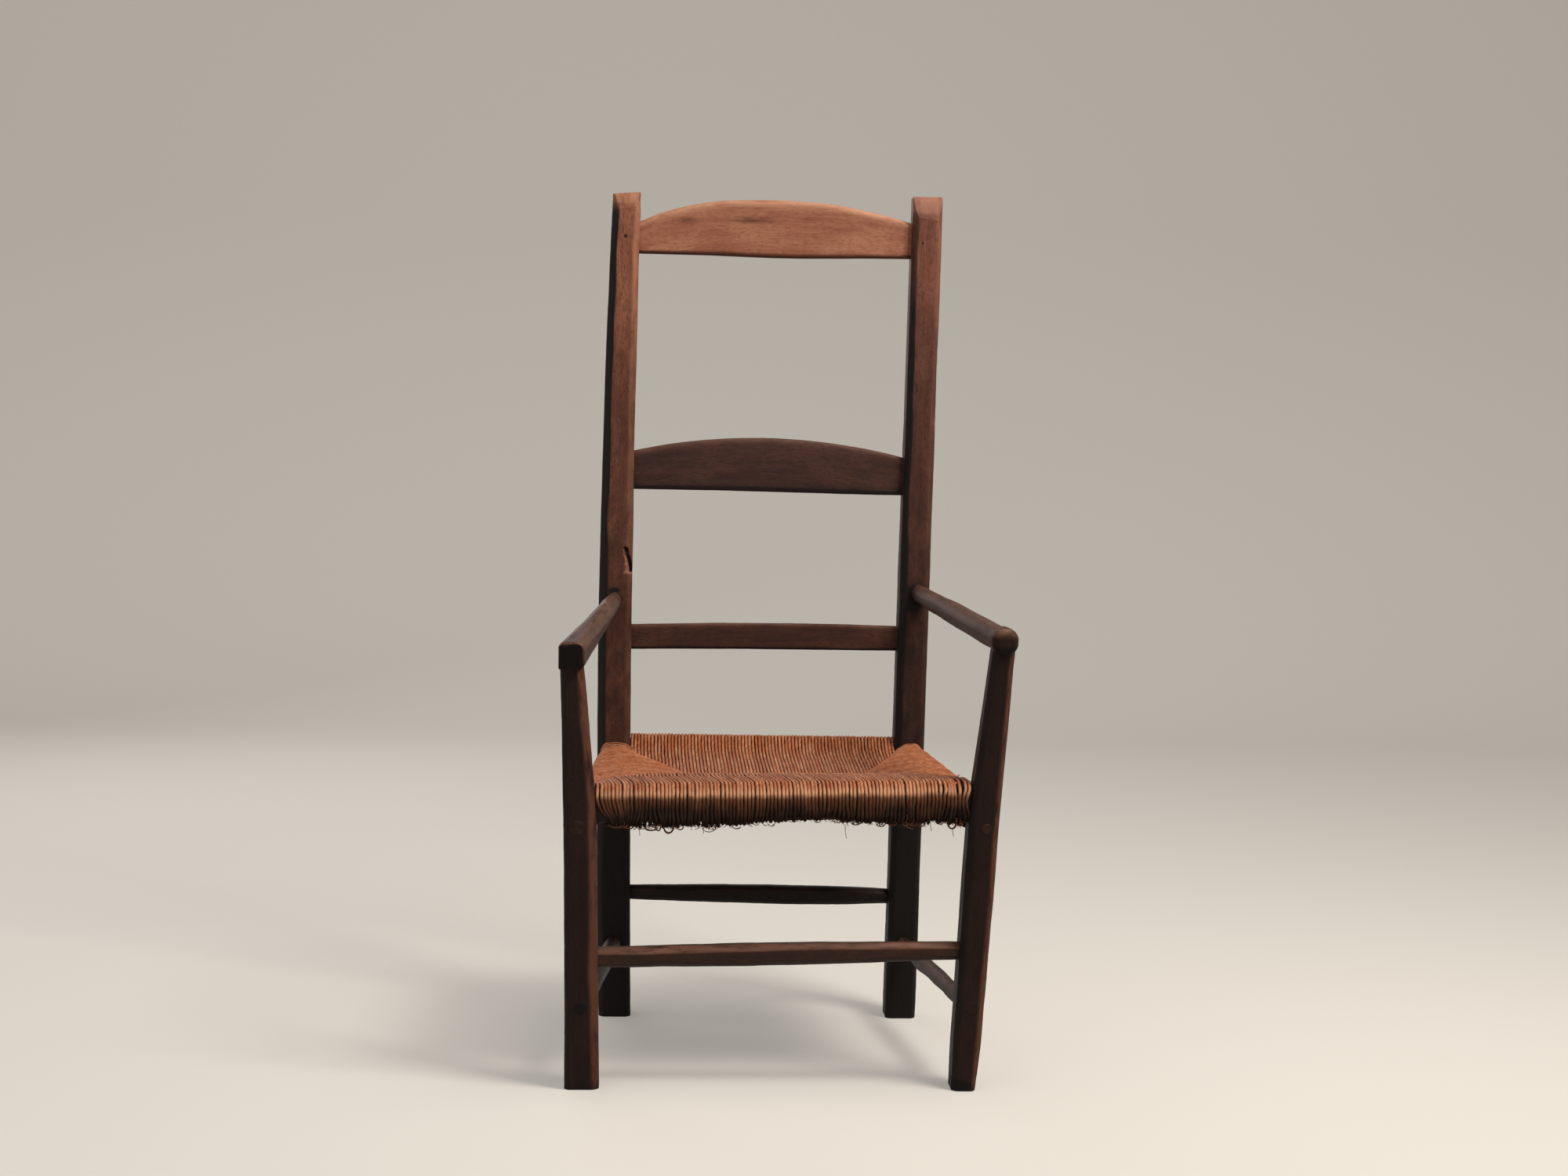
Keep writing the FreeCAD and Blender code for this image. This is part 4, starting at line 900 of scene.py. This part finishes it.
sideLooks = {
    "left": {"front": (-247.4, -200.2, 322), "back": (-207.3, 161, 346), "way": 1},
    "right": {"front": (238, -200.2, 334.7), "back": (194, 161, 352), "way": -1},
}
high = seatLook["sideHigh"]
for side, look in sideLooks.items():
    front, back, way = np.array(look["front"]), np.array(look["back"]), look["way"]
    seamPlaces = [seatLook[key][side == "right"]
        for key in ("frontCorners", "bridge", "backCorners")]
    cords = []
    for y in np.arange(-202.6, 159, seatLook["pitch"] * 0.98):
        railX, _, railZ = front + (back - front) * (y - front[1]) / (back[1] - front[1])
        seamX = np.interp(y, [-206, 12, 161], seamPlaces)
        length = max((seamX - railX) * way, 16)
        near = np.clip((y + 206) / 218 if y < 12 else (161 - y) / 149, 0, 1)
        if y < 12:
            seamTop, seamBottom = frontTop(seamX, y) - 17 * (1 - near) ** 1.3, 318.4
        else:
            seamTop, seamBottom = backTop(seamX, y) - 4 * (1 - near), 331
        # the last turns are crowded up against the back post
        pushed = (5.5 if way > 0 else 2.8) * math.exp(-((161 - y) / 12) ** 2)
        rollTop = railZ + high + gap + pushed
        seamTop += pushed * 1.4
        topRun = [(length * s, rollTop + (seamTop - rollTop) * s ** 1.4 - gap - railZ +
            7 * math.sin(math.pi * s) * near ** 0.5) for s in np.linspace(0.06, 1, 20)]
        seamBottom += (seatLook["middleBottom"] - seamBottom) * near
        bottomRun = [(length * s, -high + (seamBottom + gap - railZ + high) * s ** 0.7)
            for s in np.linspace(0.08, 1, 14)]
        wider = 1 + (0.28 if way > 0 else 0.1) * ease(y, -60, 120)
        rail = [(u * wider, v + (pushed if v > 0 else 0)) for u, v in roundRail(high, 8)]
        path = cordTurn(topRun, rail, bottomRun)
        cords.append((np.array([(railX + u * way, y, railZ + v) for u, v in path]),
            seatLook["radius"] * 0.94 * random.uniform(0.92, 1.07)))
    makeCords(f"rushSide_{side}", cords, np.array([0, -1.0 * way, 0]),
        {"soil": rollSoil, "groove": 1.8}, f"rush_{side}")
print("rush seat wound")


# broken cords in loops, and the fibres that hang from the rolls

loops = [  # x, z, half width, half height, thickness, first and last angle in degrees
    (-142, 321, 6, 8.5, 2.4, 150, 395), (-154.5, 321, 3.2, 6, 1.8, 160, 380),
    (-163, 319, 7, 3.4, 2.2, 180, 350), (-93, 320, 8, 5.5, 0.9, 185, 380),
    (-88, 321, 5, 4, 0.7, 170, 360), (-205, 323, 9, 5, 2.3, 190, 300),
    (-190, 321, 6, 4, 2, 200, 350), (-128, 321, 4, 4.5, 1.5, 190, 350),
    (143, 334, 4.2, 6.2, 1.7, 150, 400), (151, 332, 4, 5.5, 1.3, 170, 370),
    (202, 331, 5.4, 9.5, 2.3, 160, 385), (209, 334, 3, 8, 1.8, 180, 360),
    (115, 327, 5, 3.6, 1.3, 180, 360), (164, 328, 4.5, 4, 1.6, 170, 370),
    (164, 347, 3.2, 3.4, 0.9, 130, 370), (62, 330, 4.5, 2.6, 1.5, 190, 350),
    (84, 328, 5, 3.2, 1.6, 190, 350), (38, 330, 4, 2.6, 1.1, 190, 350),
    (-60, 322, 5, 3.2, 1.3, 190, 350), (-18, 325, 4, 2.6, 0.9, 190, 350),
    (187, 331, 5, 4, 1.5, 185, 350), (130, 328, 4.6, 3.4, 1.4, 190, 350),
]
fibreLook = {"clumps": [(-190, 14), (-172, 7), (-150, 10), (-128, 8), (-93, 6), (62, 5),
    (84, 7), (116, 7), (128, 6), (165, 7), (205, 9)],
    "count": 620, "hanging": [(71.8, 325, 22), (176, 328, 13), (203, 323, 15),
        (-177, 317, 11), (-100, 319, 9), (212, 329, 9)]}


def hangingHair(x, y, z, length, lean, curl):
    share = np.linspace(0, 1, 8)[:, None]
    fall = np.array([lean[0], lean[1], -1.0])
    bend = np.array([math.sin(curl), 0.4 * math.cos(curl), 0.45])
    return np.array([x, y, z]) + fall * length * share + bend * length * 0.6 * share ** 2


cords = []
for x, z, wide, tall, thick, first, last in loops:
    turn = np.radians(np.linspace(first, last, 22))
    cords.append((np.stack([x + wide * np.cos(turn), -231.5 + 2.2 * np.sin(turn * 0.5),
        z + tall * np.sin(turn)], -1), thick / 2))
depthward = np.array([0.05, 1.0, 0.02])
# the loops are painted as dark as the roll's lower front, painted shade with dirt, with painted
# shade between their strands
makeCords("rushLoops", cords, depthward, {"grimeAndShade": 0.78, "sides": 6, "wander": 0.3,
    "creaseShade": 0.3}, step=1.3)
cords = []
for _ in range(fibreLook["count"]):
    if random.random() < 0.66:
        centre, spread = fibreLook["clumps"][random.integers(len(fibreLook["clumps"]))]
        x = centre + random.normal(0, spread)
    else:
        x = random.uniform(-222, 216)
    x = float(np.clip(x, -224, 218))
    z = frontRailAt(x) - 22 - np.interp(x, *zip(*sagLine)) + random.uniform(-1, 3.5)
    hair = hangingHair(x, random.uniform(-231, -214), z, random.uniform(2.5, 8.5),
        (random.normal(0, 0.55), random.normal(-0.15, 0.4)), random.uniform(0, 6.3))
    cords.append((hair, random.uniform(0.2, 0.42)))
for x, z, length in fibreLook["hanging"]:
    cords.append((hangingHair(x, -228, z, length, (0.04, 0), 3.1), 0.36))
for _ in range(90):   # fuzz along the outer edge of the right side and its front corner
    share = random.uniform(0, 1) ** 1.6
    y = -224 + share * 170
    x = 238 - (y + 200) * 0.122 + 10 + random.uniform(-5, 1.5)
    base = np.array([x - (13 if y < -206 else 0), y, 335 + (y + 200) * 0.048 + 20.5])
    way = unit(np.array([random.normal(0.5, 0.5), random.normal(-0.3, 0.5), 0.75]))
    share = np.linspace(0, 1, 7)[:, None]
    size = random.uniform(3, 7)
    hair = base + way * size * share + np.array([0.4, -0.3, -0.8]) * size * 0.6 * share ** 2
    cords.append((hair, random.uniform(0.18, 0.34)))
# the fibres are painted darker, most of them hanging in the roll's painted shade
makeCords("rushFibres", cords, depthward, {"grimeAndShade": 0.6, "sides": 4, "wander": 0.2,
    "creaseShade": 0}, step=1.6)
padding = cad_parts["rush_padding"].data.materials
padding.clear()
padding.append(rush)
print("loose ends made")


# floor, light and camera

roomLook = {"floor": "#cfcac2", "glow": 0.38, "bounce": "#6f6860", "wallFrom": 3.2,
    "curve": 1.4, "sky": 0.32, "backdrop": 0.46, "reach": 24, "wallHigh": 9}
lampLooks = {   # place, aim, size, watts, tint
    "keyLight": ((1.25, -1.0, 2.45), (0, 0, 0.75), 0.8, 47, "#fff8f0"),
    "topLight": ((0.5, -0.1, 2.9), (0, 0, 0.5), 1.1, 14, "#fff8f0"),
    "fillLight": ((-1.9, -2.6, 1.6), (0, 0, 0.5), 2.2, 10, "#f6f8ff"),
    "backLight": ((-1.3, 2.6, 1.9), (0, 0, 0.6), 2.0, 16, "#f6f8ff"),
    "sideLight": ((-2.8, 0.3, 1.3), (0, 0, 0.5), 1.8, 7, "#f6f8ff"),
}


def seenRays(tree):
    # 1 for rays that show a surface to the camera, straight or by reflection
    rays = addNode(tree, "LightPath", {}, [])
    seen = rays.outputs["Is Camera Ray"]
    for kind in ("Glossy", "Transmission"):
        seen = addNode(tree, "Math", "MAXIMUM", [seen, rays.outputs[f"Is {kind} Ray"]])
    return seen


def plasterFloor():
    # matt plaster; it looks pale but throws back only as much light as a grey one,
    # so that the underside of the seat keeps its shade
    material, tree = newMaterial("mattPlasterFloor")
    seen = seenRays(tree)
    pale, bounce = [linearColour(roomLook[key]) for key in ("floor", "bounce")]
    glow = addNode(tree, "Math", "MULTIPLY", [seen, roomLook["glow"]])
    shader = addNode(tree, "BsdfPrincipled", {}, {
        "Base Color": paintOver(tree, bounce, [(seen, 1, pale)]), "Roughness": 0.9,
        "Specular IOR Level": 0.2, "Emission Color": pale, "Emission Strength": glow})
    addNode(tree, "OutputMaterial", {}, [shader])
    return material


def floorSweep():
    # a floor that curves up into a wall, well behind the chair
    start, curve, reach, high = [roomLook[key] for key in
        ("wallFrom", "curve", "reach", "wallHigh")]
    line = [(start + curve * math.sin(a), curve - curve * math.cos(a))
        for a in np.linspace(0, math.pi / 2, 16)]
    line = [(-reach, 0)] + line + [(start + curve, high)]
    points = [(x, y, z) for y, z in line for x in (-reach, reach)]
    faces = [(2 * i, 2 * i + 1, 2 * i + 3, 2 * i + 2) for i in range(len(line) - 1)]
    meshObject("floorSweep", points, faces, plasterFloor())


def softBox(name, place, target, size, power, tint):
    lamp = bpy.data.lights.new(name, "AREA")
    lamp.size, lamp.energy, lamp.color = size, power, linearColour(tint)[:3]
    holder = addObject(name, lamp)
    holder.location = place
    holder.rotation_euler = (Vector(target) - Vector(place)).to_track_quat("-Z", "Y").to_euler()


floorSweep()
for name, look in lampLooks.items():
    softBox(name, *look)
world = bpy.data.worlds.new("softRoom")
world.use_nodes = True
rays = seenRays(world.node_tree)
sky = world.node_tree.nodes["Background"]
sky.inputs["Color"].default_value = linearColour("#f4efe6")
strength = addNode(world.node_tree, "Math", "MULTIPLY_ADD",
    [rays, roomLook["backdrop"] - roomLook["sky"], roomLook["sky"]])
world.node_tree.links.new(strength.outputs[0], sky.inputs["Strength"])
scene.world = world

cameraLook = {"place": (-0.22066, -3.32754, 0.81785), "lens": 59.452, "turn": (
    (0.99753016, -0.01717403, -0.06810754), (-0.06679914, 0.06779024, -0.99546088),
    (0.0217131, 0.99755177, 0.0664756))}
camera = addObject("camera", bpy.data.cameras.new("camera"))
camera.matrix_world = (Matrix.Translation(cameraLook["place"]) @
    Matrix(cameraLook["turn"]).to_4x4())
camera.data.sensor_fit = "HORIZONTAL"
camera.data.sensor_width = 36
camera.data.lens = cameraLook["lens"]
scene.camera = camera
scene.view_settings.view_transform = "Standard"
print("room, light and camera set")
